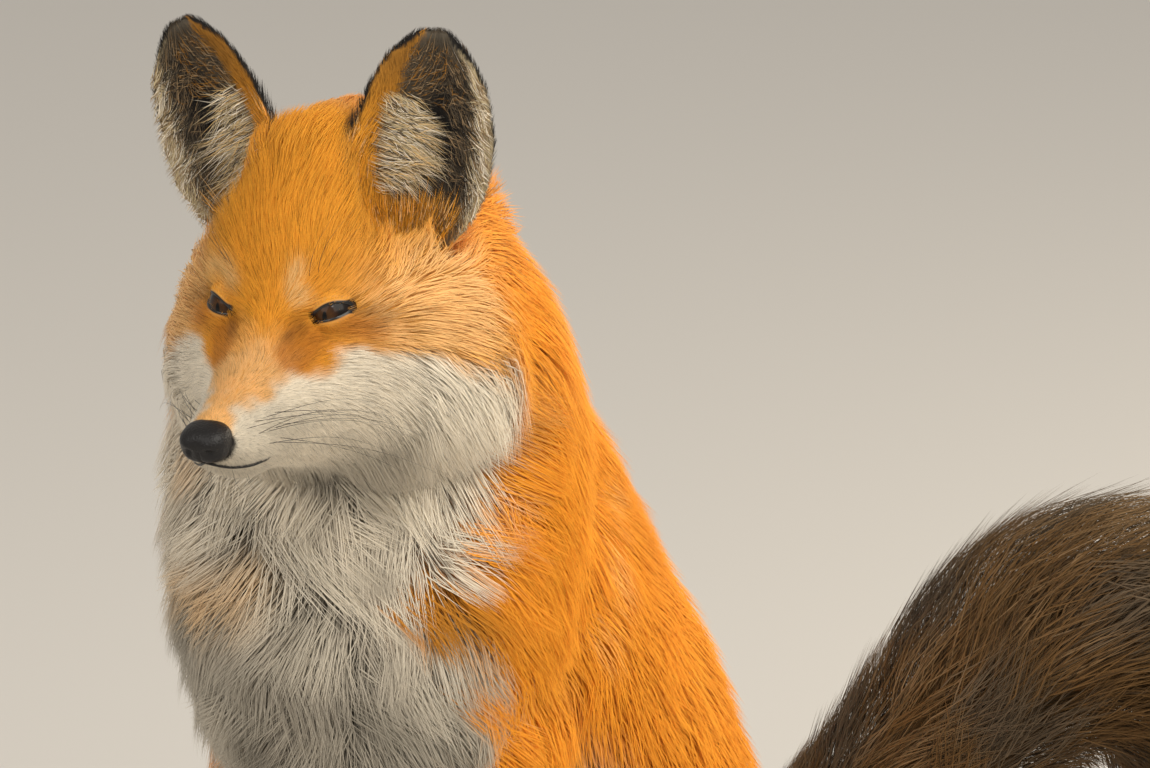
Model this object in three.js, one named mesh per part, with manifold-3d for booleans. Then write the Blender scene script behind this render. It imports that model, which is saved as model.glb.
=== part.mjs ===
// A red fox in its winter coat, sitting upright with its brush swept round to its left, life size.
// The solids are the animal's outer form, out to the tips of the coat: head, ears, eyes, nose, neck,
// trunk, four legs with their paws and claws, and the tail in three lengths.
//
// Millimetres, +Z up. The fox faces -Y and its left side is +X. The origin is the middle of the flat
// that the rump rests on.
import * as THREE from "three";
import { mergeVertices } from "three/addons/utils/BufferGeometryUtils.js";
import Module from "manifold-3d";

const wasm = await Module();
wasm.setup();

// ---- Driving dimensions ----------------------------------------------------------------------
const GAP = 0.35; // air left between neighbouring solids
const EYE_MIDPOINT = [0, -311, 440]; // between the eyes, at the front of the eyeballs
const HEAD_YAW = -4.7; // degrees, negative towards the fox's right
const HEAD_PITCH = 7.3; // degrees, nose down
const HEAD_ROLL = 2.7; // degrees, right ear down
const EYE_RADIUS = 9;
const EYE_CENTRE = [22, -7.5, -6]; // in the head's frame, of the left eye
// Each ear in the head's frame, x away from the middle: the foot of its axis, its tip, and how many
// degrees outwards it is turned.
const EARS = {
  left: { base: [38, -50, 6], tip: [50, -62, 93], turn: 17 },
  right: { base: [30, -50, 6], tip: [60.5, -58, 92], turn: 5 },
};
const EAR_THICKNESS = 5;
const EAR_SOCKET_GAP = 3 * GAP; // air round the part of an ear that is set in the head
const EAR_SET_BACK = 0.6; // how much of the cup's depth lies behind the line from base to tip
const EAR_NOTCH = 16; // how far the head is cut away in front of the ear
const EAR_MOUTH = 0.75; // the share of the ear's height that the hollow in front of it reaches
const HEAD_TAPER = 0.24; // how much narrower the head is at the crown than at the cheeks
const CLAW_LENGTH = 15;
const CLAW_RADIUS = 2.2;
const TOE_OFFSETS = [-14, -5, 5, 14]; // across a paw
const FORECLAW_AT = [40, -306]; // x and y where the middle claws of a left forepaw start
const HINDCLAW_AT = [84.5, -187];
// How far each forefoot and hind foot is set off its stations.
const STEP = {
  left: { fore: [0, -4, 0], hind: [0, 3, 0] },
  right: { fore: [0, 3, 0], hind: [0, -3, 0] },
};
const TAIL_CUTS = [0.34, 0.66]; // shares of the tail's length where it is parted

const COAT = { orange: 0xd9822b, pale: 0xe8dfce, black: 0x1d1a18, brush: 0x8a7458, eye: 0x3a2412 };

// ---- Stations ----------------------------------------------------------------------------------
// A row is one cross-section of a limb or of the body: its centre x, y, z, its half width, and how far
// it reaches above and below the centre, across the path.
const TRUNK = [
  [0, -208, 346, 52, 42, 30],
  [0, -188, 318, 82, 80, 66],
  [0, -158, 280, 94, 101, 84],
  [0, -122, 236, 98, 107, 88],
  [0, -84, 190, 101, 107, 84],
  [0, -48, 146, 103, 99, 80],
  [0, -18, 104, 99, 84, 76],
  [0, 0, 58, 86, 66, 74],
  [0, 8, 12, 66, 48, 62],
  [0, 12, -14, 40, 34, 44],
];
const NECK = [
  [1, -247, 452, 46, 41, 30],
  [2, -235, 428, 71, 68, 48],
  [4, -220, 388, 87, 85, 66],
  [3, -211, 344, 91, 88, 82],
  [1, -204, 298, 89, 76, 88],
  [0, -198, 252, 78, 58, 80],
  [0, -194, 212, 56, 36, 56],
  [0, -192, 184, 22, 14, 22],
];
const FORELEG = [
  [44, -182, 290, 28, 36, 36],
  [45, -194, 240, 30, 38, 40],
  [44, -211, 190, 25, 29, 32],
  [41.5, -226, 142, 19.5, 21, 23],
  [40, -235, 96, 16.5, 17.5, 18],
  [39, -241, 56, 16.5, 17.5, 18],
  [39, -245, 34, 17.5, 19, 18],
  [39, -248, 16, 16, 16, 16],
];
const FOREPAW = [
  [39, -226, 18, 12, 14, 18],
  [39, -238, 18, 18.5, 22, 20],
  [39.5, -260, 17, 21, 20, 19],
  [40, -282, 14, 21.5, 15, 16],
  [40, -298, 10, 17, 9, 11],
  [40, -306, 8, 8, 4, 6],
];
const THIGH = [
  [56, 22, 140, 18, 20, 20],
  [66, 2, 130, 34, 48, 50],
  [74, -34, 116, 40, 68, 70],
  [79, -76, 102, 40, 64, 66],
  [82, -112, 92, 32, 47, 52],
  [82, -140, 84, 19, 26, 28],
  [82, -149, 80, 7, 10, 12],
];
const HINDFOOT = [
  [80, -2, 34, 8, 10, 12],
  [81, -14, 29, 18, 24, 28],
  [82, -56, 24, 19, 21, 26],
  [83, -102, 20, 19, 18, 22],
  [84, -142, 18, 21.5, 18, 20],
  [85, -170, 14, 20, 13, 16],
  [85, -186, 9, 11, 6, 9],
];
const TAIL = [
  [2, -2, 62, 14, 14, 14],
  [20, 30, 66, 26, 26, 26],
  [58, 70, 88, 38, 38, 38],
  [104, 114, 138, 53, 53, 53],
  [148, 154, 190, 66, 66, 66],
  [190, 186, 192, 69, 69, 69],
  [222, 210, 148, 61, 61, 61],
  [248, 228, 96, 49, 49, 49],
  [272, 243, 54, 35, 35, 35],
  [296, 256, 20, 19, 18, 22],
  [314, 265, 5, 4, 4, 8],
];
// In the head's own frame: x to its left, y forward and z up, from the point between the eyes.
const HEAD = [
  [0, -134, -6, 14, 14, 14],
  [0, -124, -8, 40, 36, 40],
  [0, -106, -18, 55, 58, 52],
  [0, -84, -30, 69, 84, 60],
  [0, -60, -40, 79, 104, 56],
  [0, -38, -43, 77, 107, 49],
  [0, -18, -42, 62, 85, 41],
  [0, -2, -39, 43, 56, 34],
  [0, 12, -37, 31, 34, 29],
  [0, 25, -37, 22.5, 23.5, 24],
  [0, 38, -38, 18.5, 18.5, 20.5],
  [0, 50, -38.5, 15.5, 14.5, 15.5],
  [0, 57.5, -38, 13, 12, 10.5],
  [0, 64, -37, 9, 8.5, 7],
  [0, 67.5, -36.5, 3, 3.5, 3.5],
];
const EAR_HALF_WIDTH = [14, 22, 27.5, 29, 28, 25, 18.5, 7]; // from its base to its tip
const EAR_CUP = [16, 19, 18, 15, 11, 7, 4, 1]; // how deep its cup is, likewise

// ---- Curves and closed surfaces ------------------------------------------------------------------
// Catmull-Rom through rows of numbers, at t from 0 to 1.
function along(rows, t) {
  const span = t * (rows.length - 1);
  const i = Math.min(Math.floor(span), rows.length - 2);
  const f = span - i;
  const row = (k) => [rows[Math.min(Math.max(k, 0), rows.length - 1)]].flat();
  const [a, b, c, d] = [row(i - 1), row(i), row(i + 1), row(i + 2)];
  return b.map((_, k) => {
    const [leave, arrive] = [(c[k] - a[k]) / 2, (d[k] - b[k]) / 2];
    const ease = f * f * (3 - 2 * f);
    return b[k] + (c[k] - b[k]) * ease + leave * f * (1 - f) ** 2 - arrive * f * f * (1 - f);
  });
}

// A closed mesh from rings of points: the rings joined in turn and each end closed on its own middle.
function closedRings(rings) {
  const sides = rings[0].length;
  const middle = (ring) => ring.reduce((sum, p) => sum.add(p), new THREE.Vector3()).divideScalar(sides);
  const points = [...rings.flat(), middle(rings[0]), middle(rings.at(-1))];
  const index = [];
  for (let r = 0; r < rings.length - 1; r++)
    for (let s = 0; s < sides; s++) {
      const [a, b] = [r * sides + s, r * sides + ((s + 1) % sides)];
      index.push(a, b, b + sides, a, b + sides, a + sides);
    }
  const first = rings.length * sides;
  const lastRing = (rings.length - 1) * sides;
  for (let s = 0; s < sides; s++) {
    const next = (s + 1) % sides;
    index.push(first, next, s, first + 1, lastRing + s, lastRing + next);
  }
  const geometry = new THREE.BufferGeometry().setFromPoints(points);
  geometry.setIndex(index);
  return geometry;
}

// A body form: an ellipse carried along its stations, square to the path, with its width level.
// taper is the share by which the width shrinks towards the top. grow makes the form larger all round.
// With facing, every section stays square to that direction instead of to the path.
function form(stations, steps, sides, options = {}) {
  const { mirror = 1, grow = 0, shift = [0, 0, 0], taper = 0, facing } = options;
  const centre = (t) => new THREE.Vector3(...along(stations, t).slice(0, 3));
  const rings = [];
  for (let r = 0; r <= steps; r++) {
    const t = (1 - Math.cos((Math.PI * r) / steps)) * 0.15 + (0.7 * r) / steps;
    const [, , , half, above, below] = along(stations, t);
    const tangent = centre(Math.min(t + 0.01, 1)).sub(centre(Math.max(t - 0.01, 0))).normalize();
    if (facing) tangent.set(...facing);
    const side = new THREE.Vector3(0, 0, 1).cross(tangent);
    if (Math.hypot(tangent.x, tangent.y) < 0.5) side.set(1, 0, 0).addScaledVector(tangent, -tangent.x);
    side.normalize();
    if (side.x < 0) side.negate();
    const up = new THREE.Vector3().crossVectors(side, tangent).normalize();
    if (up.z + up.y * 0.5 < 0) up.negate();
    const end = r === 0 ? -grow : r === steps ? grow : 0;
    const ring = [];
    for (let s = 0; s < sides; s++) {
      const angle = (2 * Math.PI * s) / sides;
      const [c, d] = [Math.cos(angle), Math.sin(angle)];
      const narrowed = 1 - taper * Math.max(d, 0);
      ring.push(
        centre(t)
          .addScaledVector(tangent, end)
          .addScaledVector(side, (half * narrowed + grow) * c)
          .addScaledVector(up, ((d > 0 ? above : below) + grow) * d)
          .add(new THREE.Vector3(...shift)),
      );
    }
    rings.push(ring);
  }
  for (const p of rings.flat()) p.x *= mirror;
  return closedRings(rings);
}

// ---- Solids --------------------------------------------------------------------------------------
function solid(geometry) {
  const bare = new THREE.BufferGeometry();
  bare.setAttribute("position", geometry.getAttribute("position").clone());
  bare.setIndex(geometry.index);
  const merged = mergeVertices(bare, 1e-4);
  const made = new wasm.Manifold(
    new wasm.Mesh({
      numProp: 3,
      vertProperties: merged.attributes.position.array,
      triVerts: new Uint32Array(merged.index.array),
    }),
  );
  if (made.volume() > 0) return made;
  const turned = new Uint32Array(merged.index.array);
  for (let i = 0; i < turned.length; i += 3) {
    [turned[i + 1], turned[i + 2]] = [turned[i + 2], turned[i + 1]];
  }
  return new wasm.Manifold(
    new wasm.Mesh({ numProp: 3, vertProperties: merged.attributes.position.array, triVerts: turned }),
  );
}

function geometryOf(manifold) {
  const { vertProperties, triVerts } = manifold.getMesh();
  return new THREE.BufferGeometry()
    .setAttribute("position", new THREE.BufferAttribute(vertProperties, 3))
    .setIndex(new THREE.BufferAttribute(triVerts, 1));
}

const UNDERGROUND = solid(new THREE.BoxGeometry(2000, 2000, 200).translate(0, 0, -100));
const cut = (body, ...tools) => tools.reduce((left, tool) => left.subtract(tool), body);
const largest = (body) => body.decompose().reduce((best, b) => (b.volume() > best.volume() ? b : best));

// ---- Head ----------------------------------------------------------------------------------------
const degrees = THREE.MathUtils.degToRad;
// The head's frame in the fox's: its y axis points where the fox looks, down the muzzle.
const headFrame = new THREE.Matrix4()
  .makeTranslation(...EYE_MIDPOINT)
  .multiply(new THREE.Matrix4().makeRotationZ(Math.PI + degrees(HEAD_YAW)))
  .multiply(new THREE.Matrix4().makeRotationX(-degrees(HEAD_PITCH)))
  .multiply(new THREE.Matrix4().makeRotationY(degrees(HEAD_ROLL)))
  .multiply(new THREE.Matrix4().makeScale(-1, 1, 1));
const placed = (geometry) => solid(geometry.clone().applyMatrix4(headFrame));

// Rises (and, below 0, hollows) of the face: where each is, how wide, and how high.
const FACE = [
  [23, 4, -6, 11, -3.5], // eye socket
  [21, -12, 14, 13, 4], // brow
  [0, 6, -4, 10, -2.5], // stop, between the eyes
  [30, 6, -30, 14, 2.5], // cheekbone
  [11, 46, -44, 10, 2.2], // whisker pad
  [0, 40, -58, 9, 2], // chin
  [66, -52, -52, 26, 5], // ruff of the cheek
  [24, -46, 48, 15, 6.5], // crown beside the ears
];

function headForm(grow) {
  const geometry = form(HEAD, 23, 22, { grow, taper: HEAD_TAPER, facing: [0, 1, 0] });
  const points = geometry.getAttribute("position");
  const p = new THREE.Vector3();
  for (let i = 0; i < points.count; i++) {
    p.fromBufferAttribute(points, i);
    const out = new THREE.Vector3(p.x, 0, p.z + 38).normalize();
    for (const [x, y, z, reach, rise] of FACE) {
      const away = (Math.abs(p.x) - x) ** 2 + (p.y - y) ** 2 + (p.z - z) ** 2;
      p.addScaledVector(out, rise * Math.exp(-away / reach ** 2));
    }
    points.setXYZ(i, p.x, p.y, p.z);
  }
  return geometry;
}

// An eyeball, left with side 1 and right with side -1.
function eyeball(side, grow = 0) {
  const [x, y, z] = EYE_CENTRE;
  return new THREE.SphereGeometry(EYE_RADIUS + grow, 12, 8).translate(side * x, y, z);
}

// The bare nose pad at the end of the muzzle.
function nosePad(grow = 0) {
  const pad = new THREE.SphereGeometry(1, 12, 8);
  pad.scale(10 + grow, 8 + grow, 7.4 + grow);
  pad.rotateX(degrees(-14));
  return pad.translate(0, 61.5, -35.2);
}

// A point of an ear at height u from base to tip, v from its inner edge (-1) to its outer edge (1),
// and lift mm in front of the middle of its thickness.
function earPoint({ base, tip, turn }, u, v, lift) {
  const axis = new THREE.Vector3(...tip).sub(new THREE.Vector3(...base));
  const opening = new THREE.Vector3(Math.sin(degrees(turn)), Math.cos(degrees(turn)), 0);
  const across = new THREE.Vector3().crossVectors(opening, axis).normalize();
  const [half] = along(EAR_HALF_WIDTH, u);
  const [cup] = along(EAR_CUP, u);
  return new THREE.Vector3(...base)
    .addScaledVector(axis, u)
    .addScaledVector(across, half * v)
    .addScaledVector(opening, cup * (v * v - EAR_SET_BACK) + lift);
}

// A solid of rings at heights of an ear. reach is its share of the ear's width, and lift(u, v, front)
// is how far its front (front = 1) or its back (-1) lies before the middle of the ear's thickness.
function earSolid(name, { from, to, steps, sides, reach }, lift) {
  const rings = Array.from({ length: steps + 1 }, (_, r) =>
    Array.from({ length: sides }, (_, s) => {
      const angle = (2 * Math.PI * s) / sides;
      const [u, v] = [from + ((to - from) * r) / steps, Math.cos(angle) * reach];
      return earPoint(EARS[name], u, v, lift(u, v, Math.sin(angle)));
    }),
  );
  if (name === "right") for (const p of rings.flat()) p.x *= -1;
  return placed(closedRings(rings));
}

// An ear: a cupped leaf that opens forwards, thinner towards its tip.
function ear(name, grow = 0) {
  const end = grow / 80;
  const spread = { from: -end, to: 1 + end, steps: 9, sides: 16, reach: 1 + grow / 12 };
  return earSolid(name, spread, (u, v, front) => front * (EAR_THICKNESS * (0.5 - 0.25 * u) + grow));
}

// The hollow in front of the ear, which its cup runs down into: it is cut out of the head.
function earHollow(name) {
  const spread = { from: 0, to: EAR_MOUTH, steps: 5, sides: 14, reach: 0.92 };
  return earSolid(name, spread, (u, v, front) =>
    front < 0 ? 0 : EAR_CUP[0] * (1 - v * v) + EAR_NOTCH * (1.1 - u),
  );
}

// A claw, curved down from inside the toe to a blunt point, x mm across from the middle of the paw.
function claw(x, [px, py], place) {
  const front = py + 0.033 * x * x;
  const rows = [
    [px + x, front + CLAW_LENGTH * 0.5, 9, CLAW_RADIUS, CLAW_RADIUS, CLAW_RADIUS],
    [px + x, front, 9.5, CLAW_RADIUS, CLAW_RADIUS, CLAW_RADIUS],
    [px + x * 1.03, front - CLAW_LENGTH * 0.5, 4, 0.7, 0.7, 0.7],
  ];
  return solid(form(rows, 3, 6, place));
}

// ---- The animal ----------------------------------------------------------------------------------
const nodes = [];
function add(name, body, colour, roughness = 0.8) {
  nodes.push({ name, body: largest(body), colour, roughness });
}
const SIDES = { left: 1, right: -1 };

const trunkShape = (grow) => solid(form(TRUNK, 19, 22, { grow }));
const neckShape = (grow) => solid(form(NECK, 10, 18, { grow }));
const trunkRoom = trunkShape(GAP);
const neckRoom = neckShape(GAP);
const headRoom = placed(headForm(GAP));
add("trunk", cut(trunkShape(0), UNDERGROUND), COAT.orange);
add("neck", cut(neckShape(0), trunkRoom, headRoom), COAT.pale);

const eyeRooms = Object.values(SIDES).map((side) => placed(eyeball(side, GAP)));
const earRooms = Object.keys(SIDES).flatMap((name) => [ear(name, EAR_SOCKET_GAP), earHollow(name)]);
add("head", cut(placed(headForm(0)), ...eyeRooms, placed(nosePad(GAP)), ...earRooms), COAT.orange);
add("nose", placed(nosePad()), COAT.black, 0.35);
for (const [name, side] of Object.entries(SIDES)) {
  add("eye_" + name, placed(eyeball(side)), COAT.eye, 0.1);
  add("ear_" + name, ear(name), COAT.orange);
}

for (const [name, mirror] of Object.entries(SIDES)) {
  const foreAt = { mirror, shift: STEP[name].fore };
  const hindAt = { mirror, shift: STEP[name].hind };
  const fore = (rows, steps, sides, grow = 0) => solid(form(rows, steps, sides, { ...foreAt, grow }));
  const hind = (rows, steps, sides, grow = 0) => solid(form(rows, steps, sides, { ...hindAt, grow }));
  const forepaw = (grow) => fore(FOREPAW, 8, 12, grow);
  const hindfoot = (grow) => hind(HINDFOOT, 10, 12, grow);
  const upperArm = fore(FORELEG, 10, 11);
  add("leg_front_" + name, cut(upperArm, UNDERGROUND, forepaw(GAP), trunkRoom, neckRoom), COAT.black);
  add("paw_front_" + name, cut(forepaw(0), UNDERGROUND), COAT.black);
  add("thigh_" + name, cut(hind(THIGH, 10, 14), UNDERGROUND, hindfoot(GAP), trunkRoom), COAT.orange);
  add("foot_hind_" + name, cut(hindfoot(0), UNDERGROUND, trunkRoom), COAT.black);
  TOE_OFFSETS.forEach((x, i) => {
    const front = claw(x, FORECLAW_AT, foreAt);
    const back = claw(x, HINDCLAW_AT, hindAt);
    add(`claw_front_${name}_${i + 1}`, cut(front, forepaw(GAP), UNDERGROUND), COAT.black, 0.4);
    add(`claw_hind_${name}_${i + 1}`, cut(back, hindfoot(GAP), UNDERGROUND), COAT.black, 0.4);
  });
}

// The tail, parted square to its own path into three lengths.
const tail = cut(solid(form(TAIL, 22, 14)), UNDERGROUND, trunkRoom);
function tailPart(body, t, sign) {
  const here = new THREE.Vector3(...along(TAIL, t));
  const normal = new THREE.Vector3(...along(TAIL, t + 0.01)).sub(here).setLength(sign);
  return body.trimByPlane(normal.toArray(), here.dot(normal) + GAP / 2);
}
const [first, second] = TAIL_CUTS;
add("tail_base", tailPart(tail, first, -1), COAT.brush);
add("tail_middle", tailPart(tailPart(tail, first, 1), second, -1), COAT.brush);
add("tail_tip", tailPart(tail, second, 1), COAT.pale);

const group = new THREE.Group();
for (const { name, body, colour, roughness } of nodes) {
  const mesh = new THREE.Mesh(
    geometryOf(body),
    new THREE.MeshStandardMaterial({ color: colour, roughness, metalness: 0 }),
  );
  mesh.name = name;
  group.add(mesh);
}

export default group;
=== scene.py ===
# %% [markdown]
# # A red fox, sitting
#
# This lesson dresses a life-size fox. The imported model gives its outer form: every solid reaches out to
# the tips of the coat. The looks are made the way a museum makes them. First comes one bare skin, which
# lies inside that form by the depth of the coat. Then come the eyes, the lids, the nose and the
# whiskers, and at last nearly three hundred thousand locks of fur that follow the lie of the coat.

import bpy
import numpy as np
from mathutils import Matrix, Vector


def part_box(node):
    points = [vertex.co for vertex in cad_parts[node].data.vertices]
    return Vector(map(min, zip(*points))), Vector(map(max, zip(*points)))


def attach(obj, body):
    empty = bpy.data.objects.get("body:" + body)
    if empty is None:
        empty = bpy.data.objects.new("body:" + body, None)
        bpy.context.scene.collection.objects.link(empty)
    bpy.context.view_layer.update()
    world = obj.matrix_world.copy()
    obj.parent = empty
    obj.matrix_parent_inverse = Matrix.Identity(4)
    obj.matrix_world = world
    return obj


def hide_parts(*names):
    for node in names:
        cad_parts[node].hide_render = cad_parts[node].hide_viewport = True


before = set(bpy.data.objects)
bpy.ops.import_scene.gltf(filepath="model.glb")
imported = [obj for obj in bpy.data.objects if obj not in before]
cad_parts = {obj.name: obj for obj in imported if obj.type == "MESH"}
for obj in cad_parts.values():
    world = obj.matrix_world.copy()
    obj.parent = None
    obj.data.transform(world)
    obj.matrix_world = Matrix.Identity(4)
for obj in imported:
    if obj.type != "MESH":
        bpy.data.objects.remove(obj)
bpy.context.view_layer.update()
MM = 0.001
SIDES = ((1, "left"), (-1, "right"))
rng = np.random.default_rng(11)

# %% [markdown]
# ## The head's own frame
#
# The fox looks a little to one side, with its nose down and its head tipped. Everything on the face is
# easier to place in a frame that turns with the head: x to its left, y along the muzzle, z up, from the
# point between the eyes. One matrix takes head places to the fox's frame, and its transpose goes back.

# %% Head frame
EYES = np.array([0, -311, 440]) * MM
YAW, PITCH, ROLL = np.radians([-4.7, 7.3, 2.7])


def turned(axis, angle):
    """The matrix that turns by angle about the axis numbered axis."""
    i, j = [(1, 2), (2, 0), (0, 1)][axis]
    m = np.eye(3)
    m[i, i] = m[j, j] = np.cos(angle)
    m[j, i] = np.sin(angle)
    m[i, j] = -np.sin(angle)
    return m


HEAD_AXES = turned(2, np.pi + YAW) @ turned(0, -PITCH) @ turned(1, ROLL) @ np.diag([-1, 1, 1])


def from_head(points):
    """Places in the head's frame, in millimetres, taken to the fox's frame in metres."""
    return np.asarray(points) * MM @ HEAD_AXES.T + EYES


def to_head(points):
    """Places in the fox's frame taken to the head's, in millimetres."""
    return (np.asarray(points) - EYES) @ HEAD_AXES / MM


def unit(v):
    """Vectors made one long."""
    return v / np.maximum(np.linalg.norm(v, axis=-1, keepdims=True), 1e-12)


def mirrored(places):
    """The places with those of the right side brought over to the left."""
    return np.abs(places) * [1, 0, 0] + places * [0, 1, 1]


def smooth_step(x, low, high):
    """0 below low, 1 above high, and an S curve between."""
    s = np.clip((x - low) / (high - low), 0, 1)
    return s * s * (3 - 2 * s)


EYE_CENTRE = np.array([22, -7.5, -6])
NOSE_AT = np.array([0, 61.5, -35.2])
NOSE_SIZE = np.array([10.2, 8.1, 7.5])
low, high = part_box("eye_left")
print("left eye is off its solid by", np.round(from_head(EYE_CENTRE) - np.array((low + high) / 2), 4))

# %% [markdown]
# ## Camera, floor and light
#
# A long lens from five metres, a little above the animal, gives the calm flat look of a wildlife
# portrait. The floor is plain and pale, and three large soft lights stand round the fox: a strong one
# over the camera's right shoulder, a weaker one on the other side, and a warm one behind to light the
# edge of the coat. A fourth, small one gives the wet eyes their highlight.

# %% Camera
AZIMUTH, ELEVATION = np.radians([22, 15])
DISTANCE = 5.0
VIEW_WIDTH = 0.4435
VIEW_RIGHT, VIEW_DOWN = 0.1170, 0.0326  # how far the middle of the view is from the point between the eyes
SENSOR = 36.0
right = np.array([np.cos(AZIMUTH), np.sin(AZIMUTH), 0])
back = np.array([np.sin(AZIMUTH) * np.cos(ELEVATION), -np.cos(AZIMUTH) * np.cos(ELEVATION),
                 np.sin(ELEVATION)])
up = np.cross(back, right)
looks_at = EYES + right * VIEW_RIGHT - up * VIEW_DOWN


def aimed(obj, place, axes):
    """Puts an object at a place, with its own x, y and z axes along the three given."""
    m = np.eye(4)
    m[:3, :3] = np.array(axes).T
    m[:3, 3] = place
    obj.matrix_world = Matrix(m.tolist())
    bpy.context.scene.collection.objects.link(obj)


camera = bpy.data.objects.new("camera", bpy.data.cameras.new("camera"))
camera.data.sensor_width = SENSOR
camera.data.lens = SENSOR * DISTANCE / VIEW_WIDTH
aimed(camera, looks_at + back * DISTANCE, (right, up, back))
bpy.context.scene.camera = camera
print("lens:", round(camera.data.lens, 1), "mm")


# %% Materials and meshes
def new_material(name, **finish):
    """A Principled material with these values of its shader's inputs. Returns it, the shader and two
    helpers: node makes a node with its settings and the values of its inputs, and join links two sockets."""
    material = bpy.data.materials.new(name)
    material.use_nodes = True
    tree = material.node_tree
    shader = tree.nodes["Principled BSDF"]

    def give(made, values):
        for key, value in values.items():
            made.inputs[key].default_value = value

    def node(kind, values=None, **settings):
        made = tree.nodes.new(kind)
        for key, value in settings.items():
            setattr(made, key, value)
        give(made, values or {})
        return made

    def join(source, target):
        tree.links.new(source, target)

    give(shader, finish)
    return material, shader, node, join


def plain_material(name, colour, roughness):
    """A Principled material with one colour and one roughness."""
    return new_material(name, **{"Base Color": (*colour, 1), "Roughness": roughness})[0]


def get_array(items, name, count, kind):
    """One property of all the items of a mesh, as an array."""
    flat = np.zeros(count, kind)
    items.foreach_get(name, flat)
    return flat


def get_points(mesh):
    """The mesh's vertices as an array."""
    return get_array(mesh.vertices, "co", len(mesh.vertices) * 3, np.float32).reshape(-1, 3).astype(float)


def mesh_object(name, points, faces, material=None):
    """A smooth mesh from an array of points and an array of triangles or quads."""
    faces = np.asarray(faces, np.int32)
    mesh = bpy.data.meshes.new(name)
    mesh.vertices.add(len(points))
    mesh.vertices.foreach_set("co", np.asarray(points, np.float32).ravel())
    mesh.loops.add(faces.size)
    mesh.loops.foreach_set("vertex_index", faces.ravel())
    mesh.polygons.add(len(faces))
    mesh.polygons.foreach_set("loop_start", np.arange(0, faces.size, faces.shape[1], dtype=np.int32))
    mesh.update(calc_edges=True)
    mesh.shade_smooth()
    obj = bpy.data.objects.new(name, mesh)
    bpy.context.scene.collection.objects.link(obj)
    if material:
        mesh.materials.append(material)
    return obj


# %% Floor and light
FLOOR = 8.0  # half of its width
corners = np.array([[-1, -1, 0], [1, -1, 0], [1, 1, 0], [-1, 1, 0]]) * FLOOR
floor = mesh_object("floor", corners, [[0, 1, 2, 3]], plain_material("floor", (0.62, 0.60, 0.57), 0.9))


def area_light(name, side, height, depth, size, watts, colour):
    """A square light at side, height and depth (towards the camera) from the head, turned to face it."""
    data = bpy.data.lights.new(name, "AREA")
    data.size, data.energy, data.color = size, watts, colour
    place = EYES + right * side + np.array([0, 0, height]) + back * depth
    z = unit(place - EYES)
    x = unit(np.cross([0, 0, 1], z))
    aimed(bpy.data.objects.new(name, data), place, (x, np.cross(z, x), z))


area_light("key", 1.25, 1.25, 1.5, 2.2, 56, (1.0, 0.95, 0.86))
area_light("fill", -1.6, 1.0, 1.7, 1.8, 22, (1.0, 0.97, 0.93))
area_light("edge", 1.7, 0.8, -1.0, 1.0, 20, (1.0, 0.88, 0.70))
area_light("catch", 0.15, 0.9, 1.4, 0.14, 3, (1.0, 0.98, 0.95))
world = bpy.data.worlds.new("studio")
world.use_nodes = True
world.node_tree.nodes["Background"].inputs["Color"].default_value = (1.0, 0.95, 0.88, 1)
world.node_tree.nodes["Background"].inputs["Strength"].default_value = 0.50
bpy.context.scene.world = world
bpy.context.scene.view_settings.view_transform = "Standard"
print("lights:", len(bpy.data.lights), "and an even glow from all round")

# %% [markdown]
# ## The bare body
#
# Each part of the body is an ellipse carried along a path: a row of the table is one cross-section,
# with its centre, its half width and its reach above and below. The last number is new here. It is how
# deep the coat is at that station, and the skin is drawn in by that much. A smooth curve runs through
# the rows, so a dozen of them are enough for a trunk.
#
# Forms may overlap as they like. Four toes lie in the end of each paw, and one more form fills the crease
# where the neck meets the back.

# %% Stations, in millimetres: x, y, z, half width, above, below, depth of the coat
TRUNK = [
    [0, -208, 346, 52, 42, 30, 14],
    [0, -188, 318, 82, 80, 66, 18],
    [0, -158, 280, 94, 101, 84, 20],
    [0, -122, 236, 98, 107, 88, 20],
    [0, -84, 190, 101, 107, 84, 19],
    [0, -48, 146, 103, 99, 80, 18],
    [0, -18, 104, 99, 84, 76, 17],
    [0, 0, 58, 86, 66, 74, 15],
    [0, 8, 12, 66, 48, 62, 12],
    [0, 12, -14, 40, 34, 44, 8],
]
NECK = [
    [1, -247, 452, 46, 41, 30, 12],
    [2, -235, 428, 71, 68, 48, 18],
    [4, -220, 388, 87, 85, 66, 22],
    [3, -211, 344, 91, 88, 82, 24],
    [1, -204, 298, 89, 76, 88, 24],
    [0, -198, 252, 78, 58, 80, 22],
    [0, -194, 212, 56, 36, 56, 18],
    [0, -192, 184, 22, 14, 22, 8],
]
FORELEG = [
    [44, -182, 290, 28, 36, 36, 14],
    [45, -194, 240, 30, 38, 40, 12],
    [44, -211, 190, 25, 29, 32, 8],
    [41.5, -226, 142, 19.5, 21, 23, 5],
    [40, -235, 96, 16.5, 17.5, 18, 3.5],
    [39, -241, 56, 16.5, 17.5, 18, 3],
    [39, -245, 34, 17.5, 19, 18, 3],
    [39, -248, 16, 16, 16, 16, 3],
]
FOREPAW = [
    [39, -226, 18, 12, 14, 18, 3],
    [39, -238, 18, 18.5, 22, 20, 3],
    [39.5, -260, 17, 21, 20, 19, 2.6],
    [40, -282, 14, 21.5, 15, 16, 2.2],
    [40, -298, 10, 17, 9, 11, 1.8],
    [40, -306, 8, 8, 4, 6, 1.2],
]
THIGH = [
    [56, 22, 140, 18, 20, 20, 10],
    [66, 2, 130, 34, 48, 50, 14],
    [74, -34, 116, 40, 68, 70, 15],
    [79, -76, 102, 40, 64, 66, 14],
    [82, -112, 92, 32, 47, 52, 11],
    [82, -140, 84, 19, 26, 28, 7],
    [82, -149, 80, 7, 10, 12, 3],
]
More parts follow.
